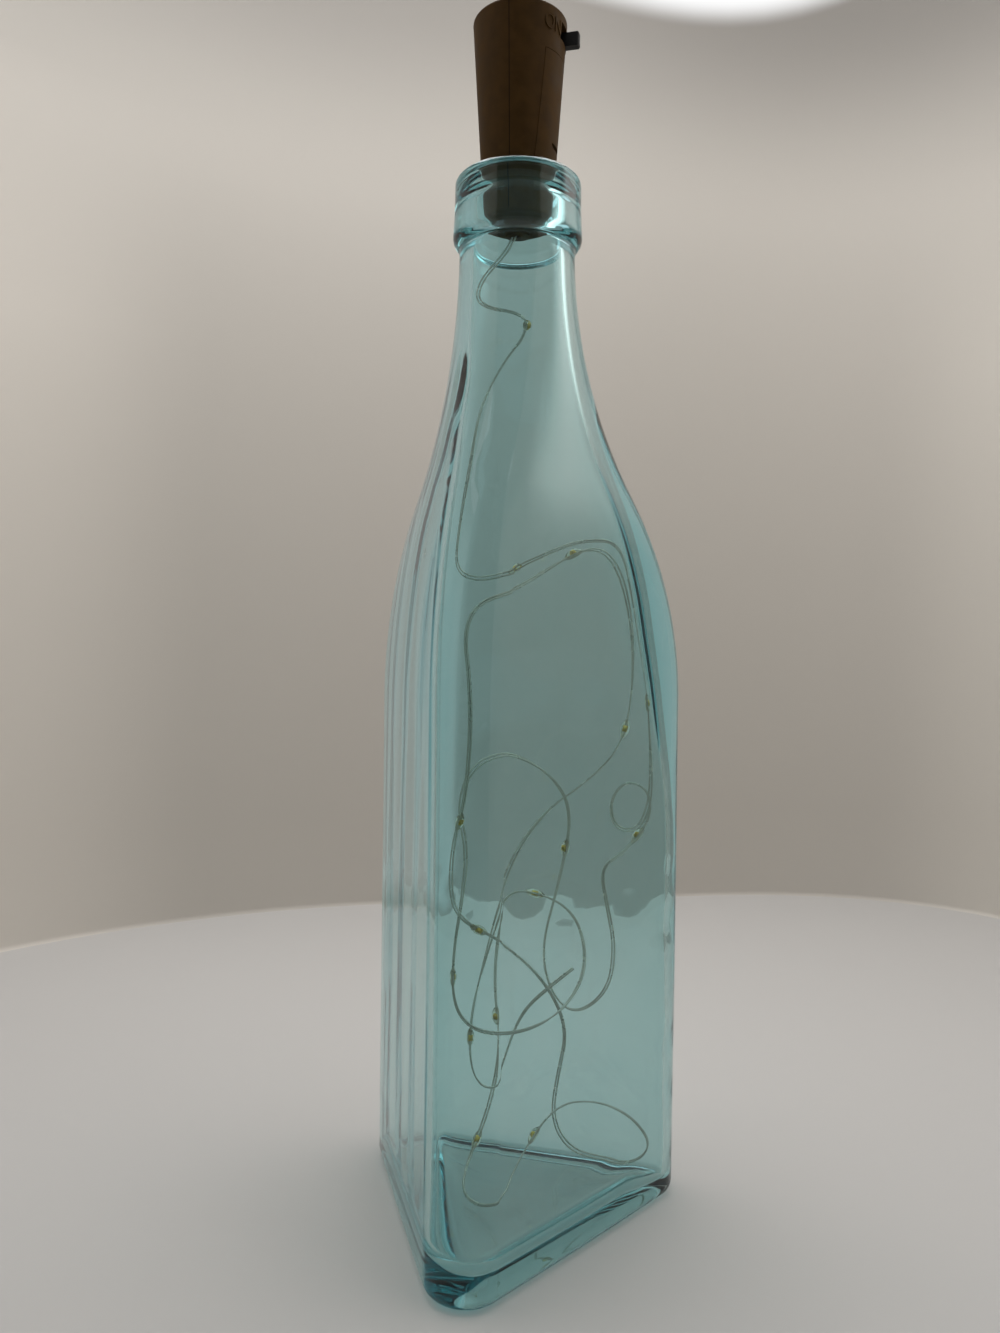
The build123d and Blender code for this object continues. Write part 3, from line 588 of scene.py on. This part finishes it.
STRING_POINTS = (
    (0, 0, 251.1), (0, 0, 244.5),
    (-10, -2.5, 233.5), (-8.5, -4.5, 227), (4, -5.5, 224), (0.5, 7.5, 222.5),
    (-3, 2.5, 216), (-6.5, -0.5, 208.5), (-9, -4, 200), (-10.5, -7, 187),
    (-15.5, -4.5, 171), (-19.5, 2, 161.5),
    (-10.5, 5, 158.5), (5.5, 4.5, 166), (16, 6, 170), (24.5, 12, 170),
    (27.5, 15.5, 155), (30.5, 17.5, 137), (31.5, 18.5, 120), (32, 18.5, 108.5),
    (31.5, 18.5, 100.5), (28.5, 16.5, 94.5), (23, 14.5, 96), (22, 13.5, 103),
    (26, 14, 108.5), (32, 14.5, 106), (32.5, 14, 98.5), (26.5, 12, 90),
    (20.5, 8.5, 86.5), (22.5, 8.5, 77), (24.5, 12, 65.5), (22.5, 15, 52.5),
    (13.5, 13.5, 45.5), (7.5, 10, 52.5), (5.5, 7.5, 65), (10.5, 3, 83),
    (15, -2.5, 102), (10.5, -6.5, 111.5), (1, -11, 117.5), (-6.5, -17, 114.5),
    (-10, -17, 104), (-8.5, -13.5, 93), (-10.5, -12, 80), (-14, -9.5, 67),
    (-15.5, -7, 53), (-8, -10, 47.5), (4, -10.5, 48.5), (13.5, -5, 52.5),
    (18, 4.5, 60.5), (15, 12, 70), (8, 15, 76), (-3.5, 15, 78.5),
    (-8.5, 14.5, 70), (-10.5, 15, 52), (-8.5, 13.5, 34), (-10.5, 8.5, 19),
    (-13.5, -1.5, 9), (-11.5, -8.5, 6.2), (-5, -12, 5.4), (0, -8.5, 6.2),
    (0.5, 1, 9.5), (9.5, 10.5, 22.5), (19.5, 14, 23.5), (28.5, 16.5, 19.5),
    (33.5, 18, 12.5), (30, 19, 6.2), (21, 19.5, 5.4), (12.5, 19.5, 6.2),
    (7.5, 17.5, 15.5), (10, 12, 30.5), (13.5, 4.5, 46), (8, -2, 60.5),
    (-1, -12.5, 72), (-8.5, -19.5, 78), (-12, -17.5, 84), (-11, -18, 95.5),
    (-6, -22, 107), (-3.5, -26.5, 130), (-7.5, -22.5, 150.5), (2.5, -10.5, 156.5),
    (10.5, -5.5, 162.5), (19.5, -0.5, 168), (24.5, 6, 163.5), (28, 9, 148),
    (28, 8, 128), (25, 5, 116.5), (17.5, 4.5, 109), (6.5, 3.5, 101),
    (-2, 0.5, 86), (-6.5, -1.5, 67), (-13, 2.5, 48), (-14.5, 4.5, 33.5),
    (-12, 6.5, 26.5), (-7, 7, 26.5), (-4.5, 7, 34), (0.5, 5.5, 47.5),
    (7.5, 5, 55), (14, 6.5, 60.5),
)
LAMP_RUNS = (4, 12, 17, 26, 35, 43, 50, 53, 55, 60, 72, 75, 80, 84, 90)
WIRE_RADIUS = 0.24
WIRE_FROM_MIDDLE = 0.30
WIRE_SIDES = 6


def spline_points(points, resolution):
    """Points along the smooth line that a NURBS spline draws through the route."""
    curve = bpy.data.curves.new("string_route", "CURVE")
    curve.dimensions = "3D"
    spline = curve.splines.new("NURBS")
    spline.points.add(len(points) - 1)
    for point, (x, y, z) in zip(spline.points, points):
        point.co = (x * MM, y * MM, z * MM, 1)
    spline.order_u = 3
    spline.use_endpoint_u = True
    spline.resolution_u = resolution
    mesh = evaluated_mesh(new_object("string_route", curve))
    line = [vertex.co.copy() for vertex in mesh.vertices]
    bpy.data.meshes.remove(mesh)
    return line


def carried_frames(line):
    """Tangent and a side direction carried along the line without twisting."""
    frames = []
    side = None
    for i, here in enumerate(line):
        before = line[max(i - 1, 0)]
        after = line[min(i + 1, len(line) - 1)]
        along = (after - before).normalized()
        if side is None:
            side = along.orthogonal().normalized()
        else:
            side = (side - along * side.dot(along)).normalized()
        frames.append((here, along, side))
    return frames


def strand_pair(frames):
    """Two thin wires side by side that turn slowly around each other and part a little between lamps."""
    mesh = bmesh.new()
    for sign in (-1, 1):
        previous = None
        travelled = 0.0
        last = frames[0][0]
        for here, along, side in frames:
            travelled += (here - last).length
            last = here
            twist = 0.9 * math.sin(travelled * 38) + 0.5 * math.sin(travelled * 97 + 1.0)
            apart = (WIRE_FROM_MIDDLE + 0.09 * math.sin(travelled * 61 + 0.6)) * MM
            across = along.cross(side)
            out = side * math.cos(twist) + across * math.sin(twist)
            up = along.cross(out)
            centre = here + out * (apart * sign)
            ring = []
            for step in range(WIRE_SIDES):
                angle = math.pi * 2 * step / WIRE_SIDES
                reach = (out * math.cos(angle) + up * math.sin(angle)) * WIRE_RADIUS * MM
                ring.append(mesh.verts.new(centre + reach))
            if previous:
                bridge(mesh, previous, ring)
            else:
                mesh.faces.new(tuple(reversed(ring)))
            previous = ring
        mesh.faces.new(tuple(previous))
    bmesh.ops.recalc_face_normals(mesh, faces=mesh.faces)
    return finished(mesh, "lamp_string")


line = spline_points(STRING_POINTS, 8)
frames = carried_frames(line)
lamp_string = new_object("lamp_string", strand_pair(frames))
lamp_string.data.materials.append(
    mottled("string_wire", srgb(188, 185, 170), srgb(212, 210, 198), 90.0, (0.24, 0.3), metallic=0.7)
)
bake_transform(lamp_string)
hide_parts("string_lead", "string_loops")

# Lamps: a chip and a clear drop at the middle of each lamp's run, placed by one node tree

DROP_LENGTH = 4.8
DROP_END_RADIUS = 0.34
DROP_SWELL = 0.78
DROP_LEAN = 0.26
# Size, distance from the wire and edge of the chip's base and of its lens
CHIP_BLOCKS = (((0.34, 0.84, 1.45), 0.30, 0.06), ((0.36, 0.66, 1.15), 0.62, 0.12))
# Turn about the wire from one chip to the next, so that no two face alike
CHIP_SPIN = 2.399


def drop_mesh():
    """A clear resin drop, fuller on the chip's side, with thin ends on the wires."""
    mesh = bmesh.new()
    steps, around = 14, 16
    previous = None
    for step in range(steps + 1):
        share = step / steps
        z = (share - 0.5) * DROP_LENGTH * MM
        swell = math.sin(math.pi * share) ** 0.8
        ring = []
        for k in range(around):
            angle = math.pi * 2 * k / around
            radius = (DROP_END_RADIUS + (DROP_SWELL + DROP_LEAN * math.cos(angle)) * swell) * MM
            ring.append(mesh.verts.new((radius * math.cos(angle), radius * math.sin(angle), z)))
        if previous:
            bridge(mesh, previous, ring)
        else:
            mesh.faces.new(tuple(reversed(ring)))
        previous = ring
    mesh.faces.new(tuple(previous))
    bmesh.ops.recalc_face_normals(mesh, faces=mesh.faces)
    return finished(mesh, "lamp_drop")


def chip_mesh():
    """A small lamp chip: a base block under a rounded lens."""
    mesh = bmesh.new()
    for size, lift, edge in CHIP_BLOCKS:
        made = bmesh.ops.create_cube(mesh, size=1.0)["verts"]
        for vertex in made:
            vertex.co.x = (vertex.co.x * size[0] + lift) * MM
            vertex.co.y *= size[1] * MM
            vertex.co.z *= size[2] * MM
        edges = [e for e in mesh.edges if all(v in made for v in e.verts)]
        bmesh.ops.bevel(mesh, geom=edges, offset=edge * MM, segments=2, affect="EDGES")
    return finished(mesh, "lamp_chip", soft=False)


def lamp_spots():
    """One point per lamp, with the wire's direction and the way its chip faces."""
    data = bpy.data.meshes.new("lamp_spots")
    spots, ways, spins = [], [], []
    for count, start in enumerate(LAMP_RUNS):
        first = Vector(STRING_POINTS[start]) * MM
        second = Vector(STRING_POINTS[start + 1]) * MM
        spots.append((first + second) / 2)
        ways.append((second - first).normalized())
        spins.append((count * CHIP_SPIN) % (2 * math.pi))
    data.from_pydata(spots, [], [])
    data.attributes.new("along", "FLOAT_VECTOR", "POINT")
    data.attributes.new("spin", "FLOAT", "POINT")
    for i, way in enumerate(ways):
        data.attributes["along"].data[i].vector = way
        data.attributes["spin"].data[i].value = spins[i]
    return data


def placing_tree():
    """Sets a copy of a form on every spot, turned along the wire, and gives it a material."""
    tree = bpy.data.node_groups.new("set_on_wire", "GeometryNodeTree")
    for name, kind in (
        ("Geometry", "NodeSocketGeometry"),
        ("Form", "NodeSocketObject"),
        ("Material", "NodeSocketMaterial"),
        ("Scale", "NodeSocketFloat"),
    ):
        tree.interface.new_socket(name, in_out="INPUT", socket_type=kind)
    tree.interface.new_socket("Geometry", in_out="OUTPUT", socket_type="NodeSocketGeometry")
    ins = tree.nodes.new("NodeGroupInput")
    outs = tree.nodes.new("NodeGroupOutput")
    form = tree.nodes.new("GeometryNodeObjectInfo")
    way = tree.nodes.new("GeometryNodeInputNamedAttribute")
    way.data_type = "FLOAT_VECTOR"
    way.inputs["Name"].default_value = "along"
    spin = tree.nodes.new("GeometryNodeInputNamedAttribute")
    spin.data_type = "FLOAT"
    spin.inputs["Name"].default_value = "spin"
    align = tree.nodes.new("FunctionNodeAlignRotationToVector")
    align.axis = "Z"
    turn_axis = tree.nodes.new("FunctionNodeAxisAngleToRotation")
    turn_axis.inputs["Axis"].default_value = (0, 0, 1)
    turned = tree.nodes.new("FunctionNodeRotateRotation")
    turned.rotation_space = "LOCAL"
    place = tree.nodes.new("GeometryNodeInstanceOnPoints")
    realize = tree.nodes.new("GeometryNodeRealizeInstances")
    paint = tree.nodes.new("GeometryNodeSetMaterial")
    link = tree.links.new
    link(ins.outputs["Form"], form.inputs["Object"])
    link(way.outputs["Attribute"], align.inputs["Vector"])
    link(spin.outputs["Attribute"], turn_axis.inputs["Angle"])
    link(align.outputs["Rotation"], turned.inputs["Rotation"])
    link(turn_axis.outputs["Rotation"], turned.inputs["Rotate By"])
    link(ins.outputs["Geometry"], place.inputs["Points"])
    link(form.outputs["Geometry"], place.inputs["Instance"])
    link(turned.outputs["Rotation"], place.inputs["Rotation"])
    link(ins.outputs["Scale"], place.inputs["Scale"])
    link(place.outputs["Instances"], realize.inputs["Geometry"])
    link(realize.outputs["Geometry"], paint.inputs["Geometry"])
    link(ins.outputs["Material"], paint.inputs["Material"])
    link(paint.outputs["Geometry"], outs.inputs["Geometry"])
    return tree


def set_on_wire(tree, name, form_mesh, material, scale):
    """Runs the tree and keeps its result as a plain mesh."""
    form = new_object(name + "_form", form_mesh)
    carrier = new_object(name + "_spots", lamp_spots())
    modifier = carrier.modifiers.new("set_on_wire", "NODES")
    modifier.node_group = tree
    given = {"Form": form, "Material": material, "Scale": scale}
    for item in tree.interface.items_tree:
        if item.in_out == "INPUT" and item.name in given:
            modifier[item.identifier] = given[item.name]
    mesh = evaluated_mesh(carrier)
    mesh.name = name
    bpy.data.objects.remove(form)
    smooth(mesh)
    return new_object(name, mesh)


def resin_material():
    """Clear resin, hardly tinted."""
    material, tree, shader, output = new_material("lamp_resin")
    vary(tree, shader, srgb(247, 243, 224), srgb(253, 250, 239), 700.0, (0.03, 0.06))
    shader.inputs["IOR"].default_value = 1.48
    shader.inputs["Transmission Weight"].default_value = 1.0
    let_lamps_through(tree, shader, output, (0.95, 0.94, 0.90))
    return material


lamp_tree = placing_tree()
phosphor = mottled("lamp_phosphor", srgb(206, 168, 30), srgb(240, 214, 84), 900.0, (0.4, 0.5))
drops = set_on_wire(lamp_tree, "lamp_drops", drop_mesh(), resin_material(), 1.0)
chips = set_on_wire(lamp_tree, "lamp_chips", chip_mesh(), phosphor, 1.0)
for piece, replaced, slot in ((drops, "led_beads", "lamp_resin"), (chips, "led_chips", "lamp_phosphor")):
    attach(piece, "bottle")
    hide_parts(replaced)

# Cork: brown plastic, black switch, and the pieces inside

CORK_BOTTOM = 248.5
CORK_TOP = 299.0
CORK_BOTTOM_RADIUS = 8.5
CORK_TOP_RADIUS = 11.85
SWITCH_Z = 294.6
LETTER_HEIGHT = 3.6
LETTER_PROUD = 0.22
LETTER_SUNK = 0.2
LETTER_NARROW = 0.75
SEAM_WIDTH = 0.16
SEAM_PROUD = 0.015
SEAM_END = 0.6

cork_look = mottled("cork_plastic", srgb(66, 46, 18), srgb(76, 54, 24), 260.0, (0.55, 0.68), specular=0.08)
black_look = mottled("black_plastic", srgb(9, 9, 9), srgb(16, 16, 15), 400.0, (0.4, 0.52), specular=0.3)
cell_look = mottled(
    "cell_steel", srgb(186, 186, 182), srgb(222, 222, 218), 220.0, (0.22, 0.34), metallic=1.0
)
spring_look = mottled(
    "plated_contact", srgb(196, 184, 150), srgb(222, 212, 184), 300.0, (0.28, 0.4), metallic=1.0
)
board_look = mottled("board_green", srgb(22, 72, 40), srgb(32, 92, 52), 500.0, (0.4, 0.5))
cradle_look = mottled("cradle_plastic", srgb(46, 32, 14), srgb(56, 40, 18), 260.0, (0.45, 0.56))
feed_look = mottled("feed_wire_cover", srgb(186, 186, 178), srgb(206, 206, 198), 600.0, (0.3, 0.4))
glue_look = mottled("glue_milky", srgb(206, 202, 188), srgb(224, 221, 208), 500.0, (0.3, 0.45))
NODE_LOOKS = {
    "cork_shell_front": cork_look,
    "cork_shell_rear": cork_look,
    "battery_door": cork_look,
    "wire_bush": cork_look,
    "switch_knob": black_look,
    "switch_frame": black_look,
    "resistor": black_look,
    "battery_cradle": cradle_look,
    "button_cell_top": cell_look,
    "button_cell_middle": cell_look,
    "button_cell_bottom": cell_look,
    "positive_contact": spring_look,
    "negative_contact": spring_look,
    "switch_wiper": spring_look,
    "switch_pins": spring_look,
    "circuit_board": board_look,
    "feed_wires": feed_look,
    "glue_plug": glue_look,
}
for name, look in NODE_LOOKS.items():
    nodes[name].data.materials.clear()
    nodes[name].data.materials.append(look)


def cork_radius(z):
    """Outer radius of the cork at a height."""
    flare = CORK_TOP_RADIUS - CORK_BOTTOM_RADIUS
    return CORK_BOTTOM_RADIUS + flare * (z - CORK_BOTTOM) / (CORK_TOP - CORK_BOTTOM)


def raised_word(word, turn_to, height):
    """A word wrapped around the cork beside the switch, raised a little from the plastic."""
    curve = bpy.data.curves.new("raised_" + word, "FONT")
    curve.body = word
    curve.align_x = "CENTER"
    curve.align_y = "CENTER"
    curve.size = height / 0.72
    curve.extrude = 0.5
    curve.resolution_u = 6
    mesh = evaluated_mesh(new_object("raised_" + word, curve))
    wrap = bmesh.new()
    wrap.from_mesh(mesh)
    bmesh.ops.triangulate(wrap, faces=wrap.faces)
    for vertex in wrap.verts:
        z = SWITCH_Z + vertex.co.y
        radius = cork_radius(z) + (LETTER_PROUD if vertex.co.z > 0 else -LETTER_SUNK)
        angle = math.radians(turn_to) + LETTER_NARROW * vertex.co.x / cork_radius(SWITCH_Z)
        vertex.co = (radius * math.cos(angle) * MM, radius * math.sin(angle) * MM, z * MM)
    bmesh.ops.recalc_face_normals(wrap, faces=wrap.faces)
    wrap.to_mesh(mesh)
    wrap.free()
    mesh.name = "raised_" + word
    return new_object("switch_word_" + word, mesh)


for word, turn_to in (("ON", -30.5), ("OFF", 33.5)):
    letters = raised_word(word, turn_to, LETTER_HEIGHT)
    letters.data.materials.append(cork_look)
    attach(letters, "cork")


def seam_mesh():
    """The thin dark parting line down both sides of the cork and across its lid."""
    mesh = bmesh.new()
    half = SEAM_WIDTH / 2
    for sign in (-1, 1):
        corners = []
        for z in (CORK_TOP - SEAM_END, CORK_BOTTOM + SEAM_END):
            reach = sign * (cork_radius(z) + SEAM_PROUD)
            corners += [mesh.verts.new((x * MM, reach * MM, z * MM)) for x in (-half, half)]
        mesh.faces.new((corners[0], corners[1], corners[3], corners[2]))
    reach = CORK_TOP_RADIUS - SEAM_END
    lid = [(-half, -reach), (half, -reach), (half, reach), (-half, reach)]
    mesh.faces.new([mesh.verts.new((x * MM, y * MM, (CORK_TOP + SEAM_PROUD) * MM)) for x, y in lid])
    return finished(mesh, "cork_seam", soft=False)


seam = new_object("cork_seam", seam_mesh())
seam_look = mottled("seam_shadow", srgb(12, 7, 2), srgb(18, 11, 4), 300.0, (0.6, 0.7), specular=0.1)
seam.data.materials.append(seam_look)
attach(seam, "cork")

# Stage: a pale floor, a curved wall and soft light from above


# Places on the wall in metres, each from none to full: its painted shade at the top, its painted light on
# the sides and the glowing band of painted light
PAINTED_SHADE_TOP = (0.385, 0.52)
PAINTED_LIGHT_LEFT = (-0.215, -0.285)
PAINTED_LIGHT_RIGHT = (0.12, 0.21)
PAINTED_LIGHT_FADE = (0.42, 0.30)
PAINTED_GLOW_BAND = (0.503, 0.520)
BAND_BOW = -1.52
# Glowing patches that reflections alone show, painted highlights for the glass: place across, height and
# strength, and the depth that both share
PAINTED_HIGHLIGHT_PATCHES = (((0.21, 0.295), (0.23, 0.40), 2.5), ((-0.10, -0.21), (0.0, 0.02), 0.45))
PAINTED_HIGHLIGHT_DEPTH = (0.03, 0.11)


def soft_step(tree, value, start, end):
    """A smooth rise from 0 to 1 of a value between two places."""
    step = node(tree, "ShaderNodeMapRange", interpolation_type="SMOOTHSTEP", From_Min=start, From_Max=end)
    tree.links.new(value, step.inputs["Value"])
    return step.outputs["Result"]


def product(tree, first, second):
    """Two values multiplied."""
    times = node(tree, "ShaderNodeMath", operation="MULTIPLY")
    tree.links.new(first, times.inputs[0])
    tree.links.new(second, times.inputs[1])
    return times.outputs["Value"]


def shown(output):
    """The shader that an output shows so far."""
    return output.inputs["Surface"].links[0].from_socket


def stage_material(name, colour, glow_through_glass):
    """Plain pale paper, which rays through glass see partly as a painted glow, with less of it right under
    the bottle as painted shade.
    """
    material, tree, shader, output = new_material(name)
    shader.inputs["Base Color"].default_value = (*colour, 1)
    shader.inputs["Roughness"].default_value = 0.7
    shader.inputs["Specular IOR Level"].default_value = 0.2
    path = node(tree, "ShaderNodeLightPath")
    glow = node(tree, "ShaderNodeEmission")
    glow.inputs["Color"].default_value = (*glow_through_glass, 1)
    coordinates = node(tree, "ShaderNodeTexCoord")
    distance = node(tree, "ShaderNodeVectorMath", operation="LENGTH")
    share = node(tree, "ShaderNodeMapRange", interpolation_type="SMOOTHSTEP")
    for key, value in (("From Min", 0.012), ("From Max", 0.05), ("To Min", 0.16), ("To Max", 0.4)):
        # Painted glow for rays through glass, weaker near the axis as painted shade under the bottle
        share.inputs[key].default_value = value
    tree.links.new(coordinates.outputs["Object"], distance.inputs[0])
    tree.links.new(distance.outputs["Value"], share.inputs["Value"])
    painted_glow_mask = product(tree, share.outputs["Result"], path.outputs["Is Transmission Ray"])
    mix_over(tree, painted_glow_mask, shader.outputs["BSDF"], glow.outputs["Emission"], output)
    return material


def paint_light_on_wall(material):
    """Paints shade on the wall's top and light on its sides, a glowing white band of painted light at its
    top, and glowing patches that only reflections show, as painted highlights.
    """
    tree = material.node_tree
    output = tree.nodes["Material Output"]
    coordinates = node(tree, "ShaderNodeTexCoord")
    split = node(tree, "ShaderNodeSeparateXYZ")
    tree.links.new(coordinates.outputs["Object"], split.inputs["Vector"])
    across, deep, height = split.outputs["X"], split.outputs["Y"], split.outputs["Z"]

    shader = tree.nodes["Principled BSDF"]
    paper = tuple(shader.inputs["Base Color"].default_value)
    fade = node(tree, "ShaderNodeMapRange", From_Min=PAINTED_LIGHT_FADE[0], From_Max=PAINTED_LIGHT_FADE[1])
    tree.links.new(height, fade.inputs["Value"])
    below = fade.outputs["Result"]
    shade = None
    # Painted shade darkens the wall's top, and painted light lightens its sides, fading out upwards between
    # 0.30 and 0.42 m
    for mask, colour in (
        (soft_step(tree, height, *PAINTED_SHADE_TOP), srgb(135, 131, 126)),
        (product(tree, soft_step(tree, across, *PAINTED_LIGHT_LEFT), below), srgb(212, 206, 198)),
        (product(tree, soft_step(tree, across, *PAINTED_LIGHT_RIGHT), below), srgb(206, 201, 193)),
    ):
        mix = node(tree, "ShaderNodeMix", data_type="RGBA")
        mix.inputs["A"].default_value = paper
        mix.inputs["B"].default_value = (*colour, 1)
        tree.links.new(mask, mix.inputs["Factor"])
        if shade:
            tree.links.new(shade, mix.inputs["A"])
        shade = mix.outputs["Result"]
    tree.links.new(shade, shader.inputs["Base Color"])

    # Painted light: the wall glows white above a curved line near its top, which rises towards the sides
    bow = node(tree, "ShaderNodeMath", operation="MULTIPLY_ADD")
    bow.inputs[1].default_value = BAND_BOW
    tree.links.new(product(tree, across, across), bow.inputs[0])
    tree.links.new(height, bow.inputs[2])
    band_glow = node(tree, "ShaderNodeEmission", Strength=1.0)
    band = soft_step(tree, bow.outputs["Value"], *PAINTED_GLOW_BAND)
    mix_over(tree, band, shown(output), band_glow.outputs["Emission"], output)

    # Painted highlights: glowing patches on the wall that only glossy rays see
    path = node(tree, "ShaderNodeLightPath")
    for place, level, strength in PAINTED_HIGHLIGHT_PATCHES:
        side = product(tree, soft_step(tree, across, *place), soft_step(tree, deep, *PAINTED_HIGHLIGHT_DEPTH))
        patch = product(tree, side, soft_step(tree, height, *level))
        painted_glow_mask = product(tree, patch, path.outputs["Is Glossy Ray"])
        highlight_glow = node(tree, "ShaderNodeEmission", Strength=strength)
        highlight_glow.inputs["Color"].default_value = (1, 0.95, 0.89, 1)
        mix_over(tree, painted_glow_mask, shown(output), highlight_glow.outputs["Emission"], output)


def open_from_behind(material):
    """Leaves the wall's outer side open, so that the bottle shows from every side."""
    tree = material.node_tree
    output = tree.nodes["Material Output"]
    geometry = node(tree, "ShaderNodeNewGeometry")
    clear = node(tree, "ShaderNodeBsdfTransparent")
    mix_over(tree, geometry.outputs["Backfacing"], shown(output), clear.outputs["BSDF"], output)


WALL_RADIUS = 0.31
WALL_FOOT = 0.003
WALL_TURN = 2.95
WALL_HUMP = 0.28
WALL_FORWARD = math.atan2(CAMERA_FORWARD.y, CAMERA_FORWARD.x)


def wall_mesh():
    """A round upright wall behind and beside the bottle, flatter on the right, with a soft foot."""
    mesh = bmesh.new()
    profile = []
    for sine, cosine in quarter(6):
        profile.append((WALL_RADIUS - WALL_FOOT * (1 - sine), WALL_FOOT * (1 - cosine) - 0.0008))
    profile += [(WALL_RADIUS, 0.05), (WALL_RADIUS, 0.2), (WALL_RADIUS, 0.4), (WALL_RADIUS, 0.66)]
    rows = []
    for radius, height in profile:
        row = []
        for step in range(-48, 49):
            angle = WALL_FORWARD + math.radians(step * WALL_TURN)
            right = clamp(-step * WALL_TURN / 80)
            reach = radius * (1 + WALL_HUMP * math.sin(math.pi * right) ** 2)
            row.append(mesh.verts.new((reach * math.cos(angle), reach * math.sin(angle), height)))
        rows.append(row)
    for low, high in zip(rows, rows[1:]):
        for i in range(len(low) - 1):
            mesh.faces.new((low[i], high[i], high[i + 1], low[i + 1]))
    return finished(mesh, "stage_wall")


def floor_mesh():
    """A wide flat floor."""
    mesh = bmesh.new()
    bmesh.ops.create_grid(mesh, x_segments=4, y_segments=4, size=1.6)
    return finished(mesh, "stage_floor", soft=False)


# The second colour of the floor and of the wall is the painted glow that glass shows
floor = new_object("stage_floor", floor_mesh())
floor.data.materials.append(stage_material("floor_paper", srgb(190, 188, 186), srgb(166, 156, 144)))
wall = new_object("stage_wall", wall_mesh())
wall.data.materials.append(stage_material("wall_paper", srgb(187, 182, 175), srgb(120, 117, 112)))
paint_light_on_wall(wall.data.materials[0])
open_from_behind(wall.data.materials[0])


def area_lamp(name, place, aim, size, energy):
    """A soft rectangular lamp that faces a point."""
    data = bpy.data.lights.new(name, "AREA")
    data.shape = "RECTANGLE"
    data.size, data.size_y = size
    data.energy = energy
    lamp = new_object(name, data)
    lamp.location = place
    lamp.rotation_euler = (Vector(aim) - Vector(place)).to_track_quat("-Z", "Y").to_euler()
    return lamp


top_light = area_lamp("top_light", (0.02, 0.06, 0.64), (0.02, 0.05, 0), (0.62, 0.40), 3.5)
top_light.visible_transmission = False


def room_world():
    """A dim room in front of the stage, which glass shows as pale as the stage's wall."""
    world = bpy.data.worlds.new("room")
    world.use_nodes = True
    tree = world.node_tree
    dim = tree.nodes["Background"]
    pale = node(tree, "ShaderNodeBackground")
    for background, strength in ((dim, 0.07), (pale, 0.36)):
        background.inputs["Color"].default_value = (1, 0.98, 0.95, 1)
        background.inputs["Strength"].default_value = strength
    path = node(tree, "ShaderNodeLightPath")
    through_glass = path.outputs["Is Transmission Ray"]
    world_output = tree.nodes["World Output"]
    mix_over(tree, through_glass, dim.outputs["Background"], pale.outputs["Background"], world_output)
    return world


scene.world = room_world()
